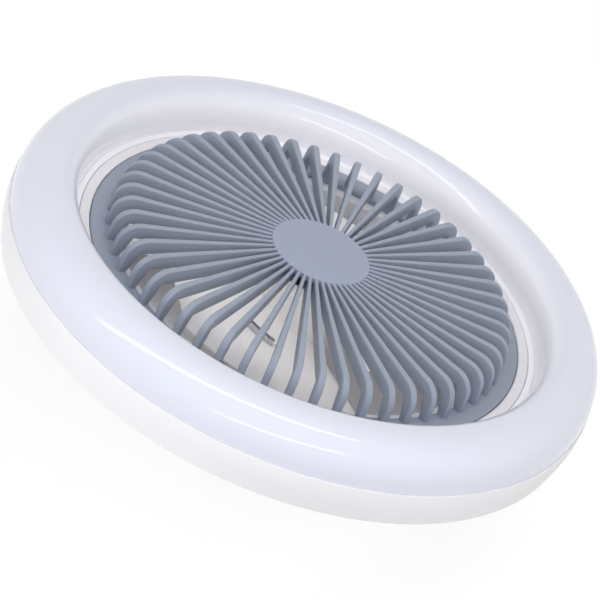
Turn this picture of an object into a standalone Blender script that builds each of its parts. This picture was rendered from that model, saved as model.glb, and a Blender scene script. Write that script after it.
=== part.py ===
"""Ceiling light with a fan behind a ribbed grille, hung from a lamp holder by its screw cap.

Metres, +Z up. The origin is on the axis, where the screw cap seats on the neck.
The light and the fan face down, towards -Z.
"""

import bmesh
import bpy
from math import asin, cos, pi, radians, sin, sqrt, tan
from mathutils import Matrix, Vector

# Whole light: its levels follow from these three depths, from the cap's seat down
neck_length = 0.028
dome_depth = 0.022
skirt_depth = 0.0215
joint_level = -(neck_length + dome_depth + skirt_depth)
# All radii outside the motor follow from the skirt's, inwards
housing_radius = 0.1306
housing_wall = 0.0022
skirt_shoulder_inset = 0.0002
piece_gap = 0.0003
overrun = 0.001
round_steps = 48
middle_steps = 32
fine_steps = 20
small_steps = 8

# Diffuser: one milky ring, steeper on its inner side
diffuser_inset = 0.0006
diffuser_radius = housing_radius - diffuser_inset
diffuser_wall = 0.0018
diffuser_height = 0.0163
diffuser_outer_reach = 0.0169
diffuser_crest_radius = diffuser_radius - diffuser_outer_reach
diffuser_inner_reach = 0.0098
diffuser_inner_radius = diffuser_crest_radius - diffuser_inner_reach
diffuser_rim_depth = 0.004
diffuser_lip_reach = 0.0020
diffuser_lip_radius = diffuser_inner_radius - diffuser_lip_reach
diffuser_lip_depth = 0.0020
diffuser_lip_thickness = 0.0014
crown_steps = 5
crown_inside_steps = 3

# Band of the housing between the diffuser's lip and the grille's flange
lip_clearance = 0.0010
band_outer_radius = diffuser_lip_radius - lip_clearance
band_width = 0.0044
band_inner_radius = band_outer_radius - band_width

# Grille: hub disc, blade-like ribs that miss the axis a little, flat flange with four hooks
flange_clearance = 0.0004
flange_outer_radius = band_inner_radius - flange_clearance
flange_width = 0.0102
flange_inner_radius = flange_outer_radius - flange_width
flange_depth = 0.0021
flange_thickness = 0.0020
rib_count = 52
hub_radius = 0.0216
hub_height = 0.0153
hub_thickness = 0.003
rib_start_inset = 0.0026
rib_start_radius = hub_radius - rib_start_inset
rib_top_inner_drop = 0.0002
rib_top_inner_height = hub_height - rib_top_inner_drop
rib_top_outer_drop = 0.0014
rib_top_outer_height = hub_height - rib_top_outer_drop
rib_depth = 0.0065
rib_corner_radius = 0.009
rib_corner_steps = 3
rib_foot_reach = 0.0039
rib_foot_radius = flange_inner_radius + rib_foot_reach
rib_inner_corner_inset = 0.0030
rib_inner_corner_radius = flange_inner_radius - rib_inner_corner_inset
rib_offset = 0.0032
rib_hub_thickness = 0.0014
rib_foot_thickness = 0.0031
rib_sink = 0.0006
rib_first_angle = radians(-10.19)
hook_count = 4
hook_width = 0.006
hook_inset = 0.0015
hook_radius = flange_inner_radius + hook_inset
hook_thickness = 0.0018
hook_length = 0.0042
hook_barb = 0.0012
hook_barb_height = 0.0014
hook_turn = radians(20)

# Front housing: skirt, floor under the light board, throat round the fan
skirt_taper = 0.0028
skirt_foot_radius = housing_radius - skirt_taper
skirt_shoulder_share = 0.4
skirt_below_floor = 0.0075
floor_depth = skirt_depth - skirt_below_floor
floor_thickness = 0.0020
band_depth = 0.0020
inner_wall = 0.0020
shelf_clearance = 0.0004
shelf_radius = diffuser_inner_radius - shelf_clearance
shelf_thickness = 0.0018
ledge_thickness = 0.0020
ledge_width = 0.0154
throat_radius = band_inner_radius - ledge_width
throat_wall = 0.0020
throat_setback = 0.0015
throat_depth = skirt_depth - throat_setback

# Screw cap, 27 mm across its thread
thread_radius = 0.0131
thread_depth = 0.0010
thread_root_radius = thread_radius - thread_depth
thread_turns = 5
thread_rows_per_turn = 4
thread_share = 0.806
shell_height = 0.0225
thread_pitch = shell_height * thread_share / thread_turns
shell_wall = 0.0008
shell_bore_radius = thread_root_radius - shell_wall
shell_lip_inset = 0.0017
shell_lip_radius = shell_bore_radius - shell_lip_inset
shell_lip_rise = 0.0011
shell_lip_wall = 0.0006
insulator_plug_length = 0.0036
insulator_rise = 0.0015
contact_inset = 0.0047
contact_radius = shell_lip_radius - contact_inset
contact_rim_height = 0.0006
contact_tip_height = 0.0013
contact_tip_inset = 0.0013
contact_tip_radius = contact_radius - contact_tip_inset
contact_stem_radius = 0.0016
contact_stem_length = 0.0028
contact_stem_clearance = 0.0004
insulator_bore_radius = contact_stem_radius + contact_stem_clearance

# Neck: hollow case of the driver, with a shallow seat round the plug for the cap's shell
neck_shoulder_width = 0.0059
neck_shoulder_radius = thread_radius + neck_shoulder_width
neck_chamfer = 0.002
neck_waist_reach = 0.005
neck_waist_radius = neck_shoulder_radius + neck_waist_reach
neck_waist_share = 0.43
neck_waist_depth = neck_length * neck_waist_share
neck_foot_reach = 0.007
neck_foot_radius = neck_waist_radius + neck_foot_reach
neck_wall = 0.0020
seat_clearance = 0.0004
seat_radius = thread_radius + seat_clearance
seat_recess = 0.0004
plug_height = 0.008
plug_wall = 0.0035
plug_bore_radius = shell_bore_radius - piece_gap - plug_wall
neck_screw_count = 3
neck_screw_turn = radians(68)
neck_screw_inset = 0.0052
neck_screw_circle_radius = neck_foot_radius - neck_screw_inset
neck_screw_length = 0.0080
neck_boss_radius = 0.0033
neck_boss_height = 0.0085

# Rear housing: domed cover with air slots and four screw bosses
dome_inset = 0.0003
dome_radius = skirt_foot_radius - dome_inset
dome_wall = 0.0022
dome_steps = 4
spigot_clearance = 0.0004
spigot_outer_radius = skirt_foot_radius - housing_wall - spigot_clearance
spigot_wall = 0.0018
spigot_height = 0.0028
wire_hole_radius = 0.0085
slot_count = 32
slot_width = 0.0052
boss_inset = 0.0132
boss_circle_radius = spigot_outer_radius - boss_inset
slot_inner_margin = 0.053
slot_inner_radius = neck_foot_radius + slot_inner_margin
slot_outer_margin = 0.010
slot_outer_radius = boss_circle_radius - slot_outer_margin
boss_radius = 0.005
boss_pad_rise = 0.0004
boss_height = 0.0085
boss_counterbore_depth = 0.0036
post_radius = 0.004
screw_count = 4
first_screw_turn = radians(45)

# Screws: self-tapping, pan heads
case_screw_radius = 0.0015
case_screw_length = 0.0100
case_head_radius = 0.0029
case_head_height = 0.0018
drive_radius = 0.0013
drive_depth_share = 0.6
board_screw_length = 0.0040
board_screw_radius = 0.0012
board_head_radius = 0.0024
board_head_height = 0.0012

# Light board: aluminium-core ring
board_inner_clearance = 0.0033
board_inner_radius = band_outer_radius + board_inner_clearance
board_outer_clearance = 0.0020
board_outer_radius = housing_radius - skirt_shoulder_inset - housing_wall - board_outer_clearance
board_thickness = 0.0016
board_screw_inset = 0.0032
board_screw_circle_radius = board_outer_radius - board_screw_inset
board_screw_turn = radians(12)

# Motor, outer rotor, from the bell's front face back
fan_clearance = 0.0051
bell_front_height = rib_top_inner_height - rib_depth - fan_clearance
bell_wall = 0.0015
bell_radius = 0.0214
bell_length = 0.0170
bell_window_count = 6
bell_window_outer_inset = 0.0056
bell_window_outer_radius = bell_radius - bell_window_outer_inset
bell_window_inner_share = 0.494
bell_window_inner_radius = bell_window_outer_radius * bell_window_inner_share
bell_window_half_turn = radians(20)
bell_window_steps = 4
magnet_thickness = 0.0020
magnet_setback = 0.0020
magnet_end_margin = 0.0023
magnet_length = bell_length - bell_wall - magnet_setback - magnet_end_margin
magnet_outer_radius = bell_radius - bell_wall - piece_gap
air_gap = 0.0006
core_radius = magnet_outer_radius - magnet_thickness - air_gap
stack_end_margin = 0.0012
stack_length = magnet_length - stack_end_margin
tooth_count = 6
tooth_width_share = 0.282
tooth_width = core_radius * tooth_width_share
tooth_head_share = 0.147
tooth_head_thickness = core_radius * tooth_head_share
core_hub_share = 0.476
core_hub_radius = core_radius * core_hub_share
coil_front_gap = 0.0020
coil_end_thickness = 0.0017
coil_core_gap = 0.0006
coil_inner_radius = core_hub_radius + coil_core_gap
coil_outer_radius = core_radius - tooth_head_thickness - coil_core_gap
coil_side_gap = 0.0008
coil_side_thickness = coil_inner_radius * tan(pi / tooth_count) - tooth_width / 2 - coil_side_gap
tooth_head_half_turn = radians(24)
tooth_head_steps = 4
bearing_tube_radius = 0.0040
bearing_tube_bore = 0.0034
bearing_tube_reach = 0.0014
bearing_length = 0.0030
bearing_inset = 0.0010
shaft_radius = 0.0015
shaft_tip_length = 0.0010
shaft_tail_length = 0.0016
clip_radius = 0.0029
clip_thickness = 0.0006
motor_board_thickness = 0.0016
motor_board_gap = 0.0006

# Pedestal that carries the motor on the rear housing's floor
pedestal_clearance = 0.0009
pedestal_foot_radius = neck_screw_circle_radius - case_head_radius - pedestal_clearance
pedestal_foot_thickness = 0.0030
pedestal_screw_inset = 0.0042
pedestal_screw_circle_radius = pedestal_foot_radius - pedestal_screw_inset
pedestal_column_inset = 0.0043
pedestal_column_radius = pedestal_screw_circle_radius - pedestal_column_inset
pedestal_wall = 0.0040
pedestal_bore_radius = pedestal_column_radius - pedestal_wall
pedestal_head_reach = 0.0035
pedestal_head_radius = pedestal_column_radius + pedestal_head_reach
pedestal_head_thickness = 0.0020
pedestal_flare = 0.0020
motor_board_inset = 0.0015
motor_board_radius = pedestal_head_radius - motor_board_inset
pedestal_screw_count = 3
pedestal_screw_length = 0.0050
pedestal_notch_width = 0.0076
pedestal_notch_height = 0.0064
motor_wire_hole_radius = 0.0022
motor_wire_hole_reach = bearing_tube_radius + motor_wire_hole_radius

# Impeller: hub ring with three wide blades, each with a rail for balancing it
impeller_clearance = 0.0020
impeller_radius = throat_radius - impeller_clearance
impeller_hub_clearance = 0.0004
impeller_hub_wall = 0.0027
hub_end_margin = 0.0012
web_inset = 0.0048
web_inner_radius = bell_radius - web_inset
web_thickness = 0.0015
web_screw_inset = 0.0030
web_screw_circle_radius = bell_radius - web_screw_inset
web_screw_length = 0.0030
web_screw_radius = 0.0009
web_head_radius = 0.0016
web_head_height = 0.0010
blade_count = 3
blade_turn = radians(-59)
blade_tip_width = radians(69)
blade_sweep = radians(47)
blade_sweep_share = 0.39
blade_root_sink = 0.0012
blade_front_depth = 0.0020
blade_drop = 0.0150
blade_crown = 0.0022
blade_root_thickness = 0.0024
blade_tip_thickness = 0.0014
blade_edge_share = 0.5
blade_rows = 7
blade_columns = 8
rail_share = 0.37
rail_thickness = 0.0012
rail_turn = radians(-79)
rail_half_turn = radians(12)
rail_rise = 0.0026
rail_steps = 5

# Steel channel pushed over the rail of the nearest blade to balance it
clip_half_turn = radians(8.5)
clip_height = 0.0014
clip_wall = 0.0005

# Driver in the neck: upright board with its larger components
driver_side_clearance = 0.0020
driver_board_width = 2 * (neck_shoulder_radius + neck_chamfer - neck_wall - driver_side_clearance)
driver_end_clearance = 0.0040
driver_board_height = neck_length - neck_chamfer - neck_wall - driver_end_clearance
driver_board_thickness = 0.0016
# Components: width and depth are shares of the board's width, heights of its height
transformer_shares = (0.41, 0.32, 0.65)
transformer_place_shares = (-0.19, 0.525)
capacitor_radius_share = 0.225
capacitor_length_share = 0.38
capacitor_place_shares = (0.29, 0.25)
film_capacitor_shares = (0.32, 0.16, 0.40)
film_capacitor_place_shares = (0.22, 0.725)
inductor_radius_share = 0.175
inductor_length_share = 0.235
inductor_place_shares = (0.22, 0.425)
component_chamfer = 0.0008
driver_turn = radians(-150)

# Inner leads
lead_radius = 0.0008
lead_sides = 2
lead_spacing = 0.0024
lead_end_gap = 0.0003
lead_hole_radius = 0.0026
light_lead_inner_margin = 0.021
light_lead_inner_radius = neck_foot_radius + light_lead_inner_margin
light_lead_outer_margin = 0.014
light_lead_outer_radius = boss_circle_radius - light_lead_outer_margin

screw_positions = [first_screw_turn + 2 * pi * index / screw_count for index in range(screw_count)]
full_turn = 2 * pi


def level(height):
    """World height of a point that many metres in front of the plane where diffuser and skirt meet."""
    return joint_level - height


def surface(name, colour, roughness, metallic=0.0):
    made = bpy.data.materials.new(name)
    made.use_nodes = True
    shader = made.node_tree.nodes["Principled BSDF"]
    shader.inputs["Base Color"].default_value = (*colour, 1)
    shader.inputs["Roughness"].default_value = roughness
    shader.inputs["Metallic"].default_value = metallic
    return made


def finished(name, shape, look, smooth=True):
    """The mesh as a named object, faces outwards."""
    bmesh.ops.recalc_face_normals(shape, faces=shape.faces)
    mesh = bpy.data.meshes.new(name)
    shape.to_mesh(mesh)
    shape.free()
    if look:
        mesh.materials.append(look)
    made = bpy.data.objects.new(name, mesh)
    bpy.context.scene.collection.objects.link(made)
    if smooth:
        mesh.shade_smooth()
        mesh.set_sharp_from_angle(angle=radians(35))
    return made


def joined_rings(shape, first, second):
    """Faces between two closed rings of vertices, either of which may be one point on the axis."""
    count = max(len(first), len(second))
    if count == 1:
        return
    for index in range(count):
        after = (index + 1) % count
        if len(first) == 1:
            shape.faces.new((first[0], second[after], second[index]))
        elif len(second) == 1:
            shape.faces.new((first[index], first[after], second[0]))
        else:
            shape.faces.new((first[index], first[after], second[after], second[index]))


def turned_shape(section, steps, centre=(0, 0), twist=0):
    shape = bmesh.new()
    rings = []
    for radius, height in section:
        turns = [twist + full_turn * step / steps for step in range(steps if radius else 1)]
        rings.append([
            shape.verts.new((centre[0] + radius * cos(turn), centre[1] + radius * sin(turn), height))
            for turn in turns
        ])
    for first, second in zip(rings, rings[1:] + rings[:1]):
        joined_rings(shape, first, second)
    return shape


def turned(name, section, steps, look, centre=(0, 0), twist=0):
    """A closed section of (radius, height) points turned about an upright axis."""
    return finished(name, turned_shape(section, steps, centre, twist), look)


def loft_shape(loops):
    """Closed loops of points, each joined to the next, with both ends capped."""
    shape = bmesh.new()
    rings = [[shape.verts.new(point) for point in loop] for loop in loops]
    for first, second in zip(rings, rings[1:]):
        joined_rings(shape, first, second)
    shape.faces.new(reversed(rings[0]))
    shape.faces.new(rings[-1])
    return shape


def loft(name, loops, look, smooth=True):
    return finished(name, loft_shape(loops), look, smooth)


def upright_prism(name, outline, low, high, look):
    return loft(name, [[(x, y, height) for x, y in outline] for height in (low, high)], look)


def block(name, low, high, look, chamfer=0):
    """A box between two corners, its upright edges cut back when a chamfer is given."""
    (x0, y0, z0), (x1, y1, z1) = low, high
    cut = chamfer
    outline = [
        (x0 + cut, y0), (x1 - cut, y0), (x1, y0 + cut), (x1, y1 - cut),
        (x1 - cut, y1), (x0 + cut, y1), (x0, y1 - cut), (x0, y0 + cut),
    ] if chamfer else [(x0, y0), (x1, y0), (x1, y1), (x0, y1)]
    return upright_prism(name, outline, z0, z1, look)


def rotated(made, turn):
    """Turns a finished mesh about the light's axis, with its origin left on the axis."""
    made.data.transform(Matrix.Rotation(turn, 4, "Z"))
    return made


def joined(helpers):
    """One object that holds the meshes of several helpers, which are removed."""
    shape = bmesh.new()
    for helper in helpers:
        shape.from_mesh(helper.data)
        bpy.data.objects.remove(helper)
    mesh = bpy.data.meshes.new("helper")
    shape.to_mesh(mesh)
    shape.free()
    made = bpy.data.objects.new("helper", mesh)
    made.hide_render = True
    made.display_type = "WIRE"
    bpy.context.scene.collection.objects.link(made)
    return made


def combined(target, helpers, operation):
    """Cuts the helpers from the target, or joins them to it, and keeps the result as a plain mesh."""
    helper = joined(helpers)
    modifier = target.modifiers.new(operation, "BOOLEAN")
    modifier.operation = operation
    modifier.solver = "EXACT"
    modifier.object = helper
    graph = bpy.context.evaluated_depsgraph_get()
    mesh = bpy.data.meshes.new_from_object(target.evaluated_get(graph))
    target.modifiers.clear()
    mesh.name = target.name
    target.data = mesh
    mesh.shade_smooth()
    mesh.set_sharp_from_angle(angle=radians(35))
    bpy.data.objects.remove(helper)
    return target


def cut(target, helpers):
    return combined(target, helpers, "DIFFERENCE")


def united(target, helpers):
    return combined(target, helpers, "UNION")


def around(radius, turn):
    return (radius * cos(turn), radius * sin(turn))


def rod(radius, low, high, centre=(0, 0), steps=small_steps):
    """A plain upright cylinder, used as a helper."""
    return turned("rod", [(0, low), (radius, low), (radius, high), (0, high)], steps, None, centre)


def quarter(centre_radius, reach, rise, base, steps, skip_last=False):
    """(radius, height) points of a quarter ellipse from its foot to its crest."""
    count = steps if skip_last else steps + 1
    return [
        (centre_radius + reach * cos(pi / 2 * step / steps), base + rise * sin(pi / 2 * step / steps))
        for step in range(count)
    ]


def at_levels(section):
    return [(radius, level(height)) for radius, height in section]


def make_diffuser(look):
    outer_reach = diffuser_radius - diffuser_crest_radius
    inner_reach = diffuser_inner_radius - diffuser_crest_radius
    inside_height = diffuser_height - diffuser_wall
    rim = -diffuser_rim_depth
    lip_back = -diffuser_lip_depth - diffuser_lip_thickness
    outer_side = quarter(diffuser_crest_radius, outer_reach, diffuser_height, 0, crown_steps)
    inner_side = quarter(diffuser_crest_radius, inner_reach, diffuser_height, 0, crown_steps, True)
    outer_inside = quarter(
        diffuser_crest_radius, outer_reach - diffuser_wall, inside_height, 0, crown_inside_steps
    )
    inner_inside = quarter(
        diffuser_crest_radius, inner_reach + diffuser_wall, inside_height, 0, crown_inside_steps, True
    )
    section = (
        [(diffuser_radius, rim)] + outer_side + inner_side[::-1]
        + [(diffuser_inner_radius, -diffuser_lip_depth), (diffuser_lip_radius, -diffuser_lip_depth)]
        + [(diffuser_lip_radius, lip_back), (diffuser_inner_radius + diffuser_wall, lip_back)]
        + inner_inside + outer_inside[::-1] + [(diffuser_radius - diffuser_wall, rim)]
    )
    return turned("diffuser", at_levels(section), round_steps, look)


def rib_outline():
    """The rib's side view as (distance from the axis, height) points, from the hub's front edge on."""
    corner_centre = rib_foot_radius - rib_corner_radius - piece_gap
    corner = [
        (corner_centre + rib_corner_radius * sin(pi / 2 * step / rib_corner_steps),
         rib_top_outer_height - rib_corner_radius * (1 - cos(pi / 2 * step / rib_corner_steps)))
        for step in range(rib_corner_steps + 1)
    ]
    foot_height = -flange_depth - rib_sink
    return (
        [(rib_start_radius, rib_top_inner_height)] + corner
        + [(rib_foot_radius, foot_height), (flange_inner_radius + piece_gap, foot_height)]
        + [(rib_inner_corner_radius, rib_top_outer_height - rib_depth)]
        + [(rib_start_radius, rib_top_inner_height - rib_depth)]
    )


def make_rib(turn):
    outline = rib_outline()
    start, foot = (sqrt(radius ** 2 - rib_offset ** 2) for radius in (rib_start_radius, rib_foot_radius))
    sides = []
    for side in (-1, 1):
        loop = []
        for radius, height in outline:
            along = sqrt(radius ** 2 - rib_offset ** 2)
            share = (along - start) / (foot - start)
            half = (rib_hub_thickness + (rib_foot_thickness - rib_hub_thickness) * share) / 2
            loop.append((along, rib_offset + side * half, level(height)))
        sides.append(loop)
    return rotated(loft("rib", sides, None), turn)


def make_hook(turn):
    """A hook under the flange, with a barb that points outwards."""
    top = level(-flange_depth - flange_thickness + rib_sink)
    tip = level(-flange_depth - flange_thickness - hook_length)
    outer = hook_radius + hook_thickness
    outline = [
        (hook_radius, top), (outer, top), (outer, tip - hook_barb_height),
        (outer + hook_barb, tip - hook_barb_height), (outer, tip), (hook_radius, tip),
    ]
    sides = [[(x, side * hook_width / 2, z) for x, z in outline] for side in (-1, 1)]
    return rotated(loft("hook", sides, None), turn)


def hook_turns():
    return [hook_turn + full_turn * index / hook_count for index in range(hook_count)]


def make_grille(look):
    hub_section = [
        (0, hub_height), (hub_radius, hub_height),
        (hub_radius, hub_height - hub_thickness), (0, hub_height - hub_thickness),
    ]
    grille = turned("grille", at_levels(hub_section), rib_count, look, twist=pi / rib_count)
    ribs = [make_rib(rib_first_angle + full_turn * index / rib_count) for index in range(rib_count)]
    united(grille, ribs)
    back = -flange_depth - flange_thickness
    flange_section = [
        (flange_inner_radius, -flange_depth), (flange_outer_radius, -flange_depth),
        (flange_outer_radius, back), (flange_inner_radius, back),
    ]
    united(grille, [turned("flange", at_levels(flange_section), rib_count, None)])
    return united(grille, [make_hook(turn) for turn in hook_turns()])


def ledge_level():
    """Height of the housing's ledge under the grille's flange."""
    return -flange_depth - flange_thickness - piece_gap


def board_screw_places():
    turns = [board_screw_turn + full_turn * index / screw_count for index in range(screw_count)]
    return [around(board_screw_circle_radius, turn) for turn in turns]


def make_front_housing(look):
    rim = -diffuser_rim_depth - piece_gap
    shoulder = rim - (skirt_depth + rim) * skirt_shoulder_share
    floor_back = -floor_depth - floor_thickness
    ledge = ledge_level()
    ledge_back = ledge - ledge_thickness
    shelf = -diffuser_lip_depth - diffuser_lip_thickness - piece_gap
    wall_inner = band_outer_radius - inner_wall
    section = [
        (housing_radius, rim), (housing_radius - skirt_shoulder_inset, shoulder),
        (skirt_foot_radius, -skirt_depth), (skirt_foot_radius - housing_wall, -skirt_depth),
        (housing_radius - skirt_shoulder_inset - housing_wall - piece_gap, floor_back),
        (wall_inner, floor_back), (wall_inner, ledge_back),
        (throat_radius + throat_wall, ledge_back), (throat_radius + throat_wall, -throat_depth),
        (throat_radius, -throat_depth), (throat_radius, ledge),
        (band_inner_radius, ledge), (band_inner_radius, -band_depth), (band_outer_radius, -band_depth),
        (band_outer_radius, shelf), (shelf_radius, shelf),
        (shelf_radius, shelf - shelf_thickness), (band_outer_radius, shelf - shelf_thickness),
        (band_outer_radius, -floor_depth),
        (housing_radius - skirt_shoulder_inset - housing_wall, -floor_depth),
        (housing_radius - housing_wall, rim),
    ]
    housing = turned("front_housing", at_levels(section), round_steps, look)
    post_foot = post_level()
    posts = [
        rod(post_radius, level(post_foot), level(floor_back + overrun), around(boss_circle_radius, turn))
        for turn in screw_positions
    ]
    united(housing, posts)
    hole = case_screw_radius + piece_gap
    tip = head_seat() + case_screw_length + overrun
    holes = [
        rod(hole, level(post_foot - overrun), level(tip), around(boss_circle_radius, turn))
        for turn in screw_positions
    ]
    board_hole = board_screw_radius + piece_gap
    holes += [
        rod(board_hole, level(floor_back - overrun), level(-floor_depth + overrun), place)
        for place in board_screw_places()
    ]
    floor_low, floor_high = level(floor_back - overrun), level(-floor_depth + overrun)
    lead_hole = rod(lead_hole_radius, floor_low, floor_high, (-board_lead_radius(), 0))
    holes.append(rotated(lead_hole, driver_turn))
    inner = hook_radius - piece_gap
    outer = hook_radius + hook_thickness + hook_barb + piece_gap
    half = hook_width / 2 + piece_gap
    front, back = level(ledge + overrun), level(ledge_back - overrun)
    for turn in hook_turns():
        pocket = block("pocket", (inner, -half, front), (outer, half, back), None)
        holes.append(rotated(pocket, turn))
    return cut(housing, holes)


def dome_height(radius, wall):
    """Height of the dome's outer face, or of its inner face when the wall is given, at a radius."""
    share = (radius - neck_foot_radius) / (dome_radius - neck_foot_radius - wall)
    return -skirt_depth - piece_gap - (dome_rise() - wall) * (1 - share ** 2)


def dome_points(last_radius, wall):
    """Points of the dome's outer or inner face, from the floor out to a radius."""
    reach = last_radius - neck_foot_radius
    radii = [neck_foot_radius + reach * step / dome_steps for step in range(dome_steps + 1)]
    return [(radius, dome_height(radius, wall)) for radius in radii]


def dome_rise():
    return dome_depth - 2 * piece_gap


def pad_level():
    """Outer face of the pads round the case screws."""
    return dome_height(boss_circle_radius - boss_radius, 0) - boss_pad_rise


def head_seat():
    return pad_level() + boss_counterbore_depth


def post_level():
    """Rear end of the front housing's screw posts, just clear of the rear housing's bosses."""
    return pad_level() + boss_height + piece_gap


def board_lead_radius():
    return (board_inner_radius + board_outer_radius) / 2 - lead_hole_radius


def make_rear_housing(look):
    rim = -skirt_depth - piece_gap
    floor_rear = rim - dome_rise()
    spigot_inner = spigot_outer_radius - spigot_wall
    section = (
        [(wire_hole_radius, floor_rear)] + dome_points(dome_radius, 0)
        + [(spigot_outer_radius, rim), (spigot_outer_radius, rim + spigot_height)]
        + [(spigot_inner, rim + spigot_height)] + dome_points(spigot_inner, dome_wall)[::-1]
        + [(wire_hole_radius, floor_rear + dome_wall)]
    )
    housing = turned("rear_housing", at_levels(section), round_steps, look)
    places = [around(boss_circle_radius, turn) for turn in screw_positions]
    boss_front, boss_back = level(pad_level() + boss_height), level(pad_level())
    united(housing, [rod(boss_radius, boss_front, boss_back, place) for place in places])
    low = level(rim + spigot_height)
    high = level(floor_rear - overrun)
    slots = []
    half = slot_width / 2
    for index in range(slot_count):
        slot = block("slot", (slot_inner_radius, -half, low), (slot_outer_radius, half, high), None)
        slots.append(rotated(slot, full_turn * (index + 0.5) / slot_count))
    cut(housing, slots)
    holes = []
    head_hole, hole = case_head_radius + piece_gap, case_screw_radius + piece_gap
    seat = level(head_seat())
    for place in places:
        holes.append(rod(head_hole, seat, level(pad_level() - overrun), place))
        holes.append(rod(hole, low, seat + overrun, place))
    for place in pedestal_screw_places() + neck_screw_places():
        floor_front = level(floor_rear + dome_wall + overrun)
        holes.append(rod(hole, floor_front, high, place))
    for hole in holes:
        cut(housing, [hole])
    return housing


def make_screw(name, look, seat, direction, place, radius, length, head_radius, head_height):
    """A pan-head screw whose head rests on its seat, with a driving recess in the head."""
    tip = seat - direction * length
    top = seat + direction * head_height
    inset = head_radius / 4
    socket = top - direction * head_height * drive_depth_share
    recess = min(drive_radius, head_radius / 2)
    section = [
        (0, tip), (radius, tip + direction * radius), (radius, seat), (head_radius, seat),
        (head_radius - inset, top), (recess, top), (recess, socket), (0, socket),
    ]
    return turned(name, section, small_steps, look, place)


def make_light_board(look):
    back = -floor_depth + piece_gap
    front = back + board_thickness
    section = [
        (board_inner_radius, front), (board_outer_radius, front),
        (board_outer_radius, back), (board_inner_radius, back),
    ]
    board = turned("light_board", at_levels(section), round_steps, look)
    hole = board_screw_radius + piece_gap
    return cut(board, [
        rod(hole, level(back - overrun), level(front + overrun), place) for place in board_screw_places()
    ])


def neck_screw_places():
    turns = [neck_screw_turn + full_turn * index / neck_screw_count for index in range(neck_screw_count)]
    return [around(neck_screw_circle_radius, turn) for turn in turns]


def neck_screw_reach():
    """Depth of the screw holes in the neck's bosses."""
    return neck_screw_length - dome_wall + overrun


def make_neck(look):
    section = [
        (plug_bore_radius, plug_height), (shell_bore_radius - piece_gap, plug_height),
        (shell_bore_radius - piece_gap, -seat_recess), (seat_radius, -seat_recess),
        (seat_radius, 0), (neck_shoulder_radius, 0),
        (neck_shoulder_radius + neck_chamfer, -neck_chamfer),
        (neck_waist_radius, -neck_waist_depth), (neck_foot_radius, -neck_length),
        (neck_foot_radius - neck_wall, -neck_length),
        (neck_waist_radius - neck_wall, -neck_waist_depth),
        (neck_shoulder_radius + neck_chamfer - neck_wall, -neck_chamfer - neck_wall),
        (plug_bore_radius, -neck_wall),
    ]
    neck = turned("neck_housing", section, middle_steps, look)
    places = neck_screw_places()
    foot = -neck_length
    united(neck, [rod(neck_boss_radius, foot, foot + neck_boss_height, place) for place in places])
    hole = case_screw_radius + piece_gap
    return cut(neck, [rod(hole, foot - overrun, foot + neck_screw_reach(), place) for place in places])


def make_screw_shell(look):
    """The threaded shell: a round thread on the outside, a plain bore inside."""
    foot = piece_gap - seat_recess
    rows = thread_turns * thread_rows_per_turn
    middle = (thread_radius + thread_root_radius) / 2
    swing = (thread_radius - thread_root_radius) / 2
    thread_start = (shell_height - thread_turns * thread_pitch) / 2
    shape = bmesh.new()
    rings = []

    def plain_ring(radius, height):
        turns = [full_turn * step / fine_steps for step in range(fine_steps)]
        rings.append([shape.verts.new((*around(radius, turn), height)) for turn in turns])

    plain_ring(middle, foot)
    for row in range(rows + 1):
        fade = min(1, row / thread_rows_per_turn, (rows - row) / thread_rows_per_turn)
        ring = []
        for step in range(fine_steps):
            phase = full_turn * (row / thread_rows_per_turn - step / fine_steps)
            radius = middle + swing * fade * cos(phase)
            height = thread_start + thread_pitch * row / thread_rows_per_turn
            ring.append(shape.verts.new((*around(radius, full_turn * step / fine_steps), height)))
        rings.append(ring)
    plain_ring(thread_root_radius, shell_height)
    plain_ring(shell_lip_radius, shell_height + shell_lip_rise)
    plain_ring(shell_lip_radius - shell_lip_wall, shell_height + shell_lip_rise - shell_lip_wall)
    plain_ring(shell_bore_radius, shell_height - shell_lip_wall)
    plain_ring(shell_bore_radius, foot)
    for first, second in zip(rings, rings[1:] + rings[:1]):
        joined_rings(shape, first, second)
    return finished("screw_shell", shape, look)


def insulator_top():
    return shell_height + shell_lip_rise + piece_gap + insulator_rise


def make_cap_insulator(look):
    seat = shell_height + shell_lip_rise + piece_gap
    plug = shell_lip_radius - shell_lip_wall - piece_gap
    section = [
        (insulator_bore_radius, seat - insulator_plug_length), (plug, seat - insulator_plug_length),
        (plug, seat), (shell_lip_radius, seat),
        (contact_radius + piece_gap, insulator_top()), (insulator_bore_radius, insulator_top()),
    ]
    return turned("cap_insulator", section, fine_steps, look)


def make_centre_contact(look):
    seat = insulator_top() + piece_gap
    section = [
        (0, seat - contact_stem_length), (contact_stem_radius, seat - contact_stem_length),
        (contact_stem_radius, seat), (contact_radius, seat),
        (contact_radius, seat + contact_rim_height), (contact_tip_radius, seat + contact_tip_height),
        (0, seat + contact_tip_height),
    ]
    return turned("centre_contact", section, fine_steps, look)


def coil_front():
    return bell_front_height - bell_wall - coil_front_gap


def stack_front():
    return coil_front() - coil_end_thickness - piece_gap


def stack_back():
    return stack_front() - stack_length


def coil_back():
    return stack_back() - piece_gap - coil_end_thickness


def motor_board_front():
    return coil_back() - motor_board_gap


def pedestal_top():
    return motor_board_front() - motor_board_thickness - piece_gap


def pedestal_base():
    """Front face of the rear housing's floor, plus the gap."""
    return -skirt_depth - piece_gap - dome_rise() + dome_wall + piece_gap


def pedestal_screw_places():
    turns = [full_turn * index / pedestal_screw_count for index in range(pedestal_screw_count)]
    return [around(pedestal_screw_circle_radius, turn) for turn in turns]


def light_lead_shift():
    """How far the light's leads lie behind the axis, where they come down behind the driver board."""
    return driver_board_thickness + 2 * (lead_radius + piece_gap)


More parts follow.
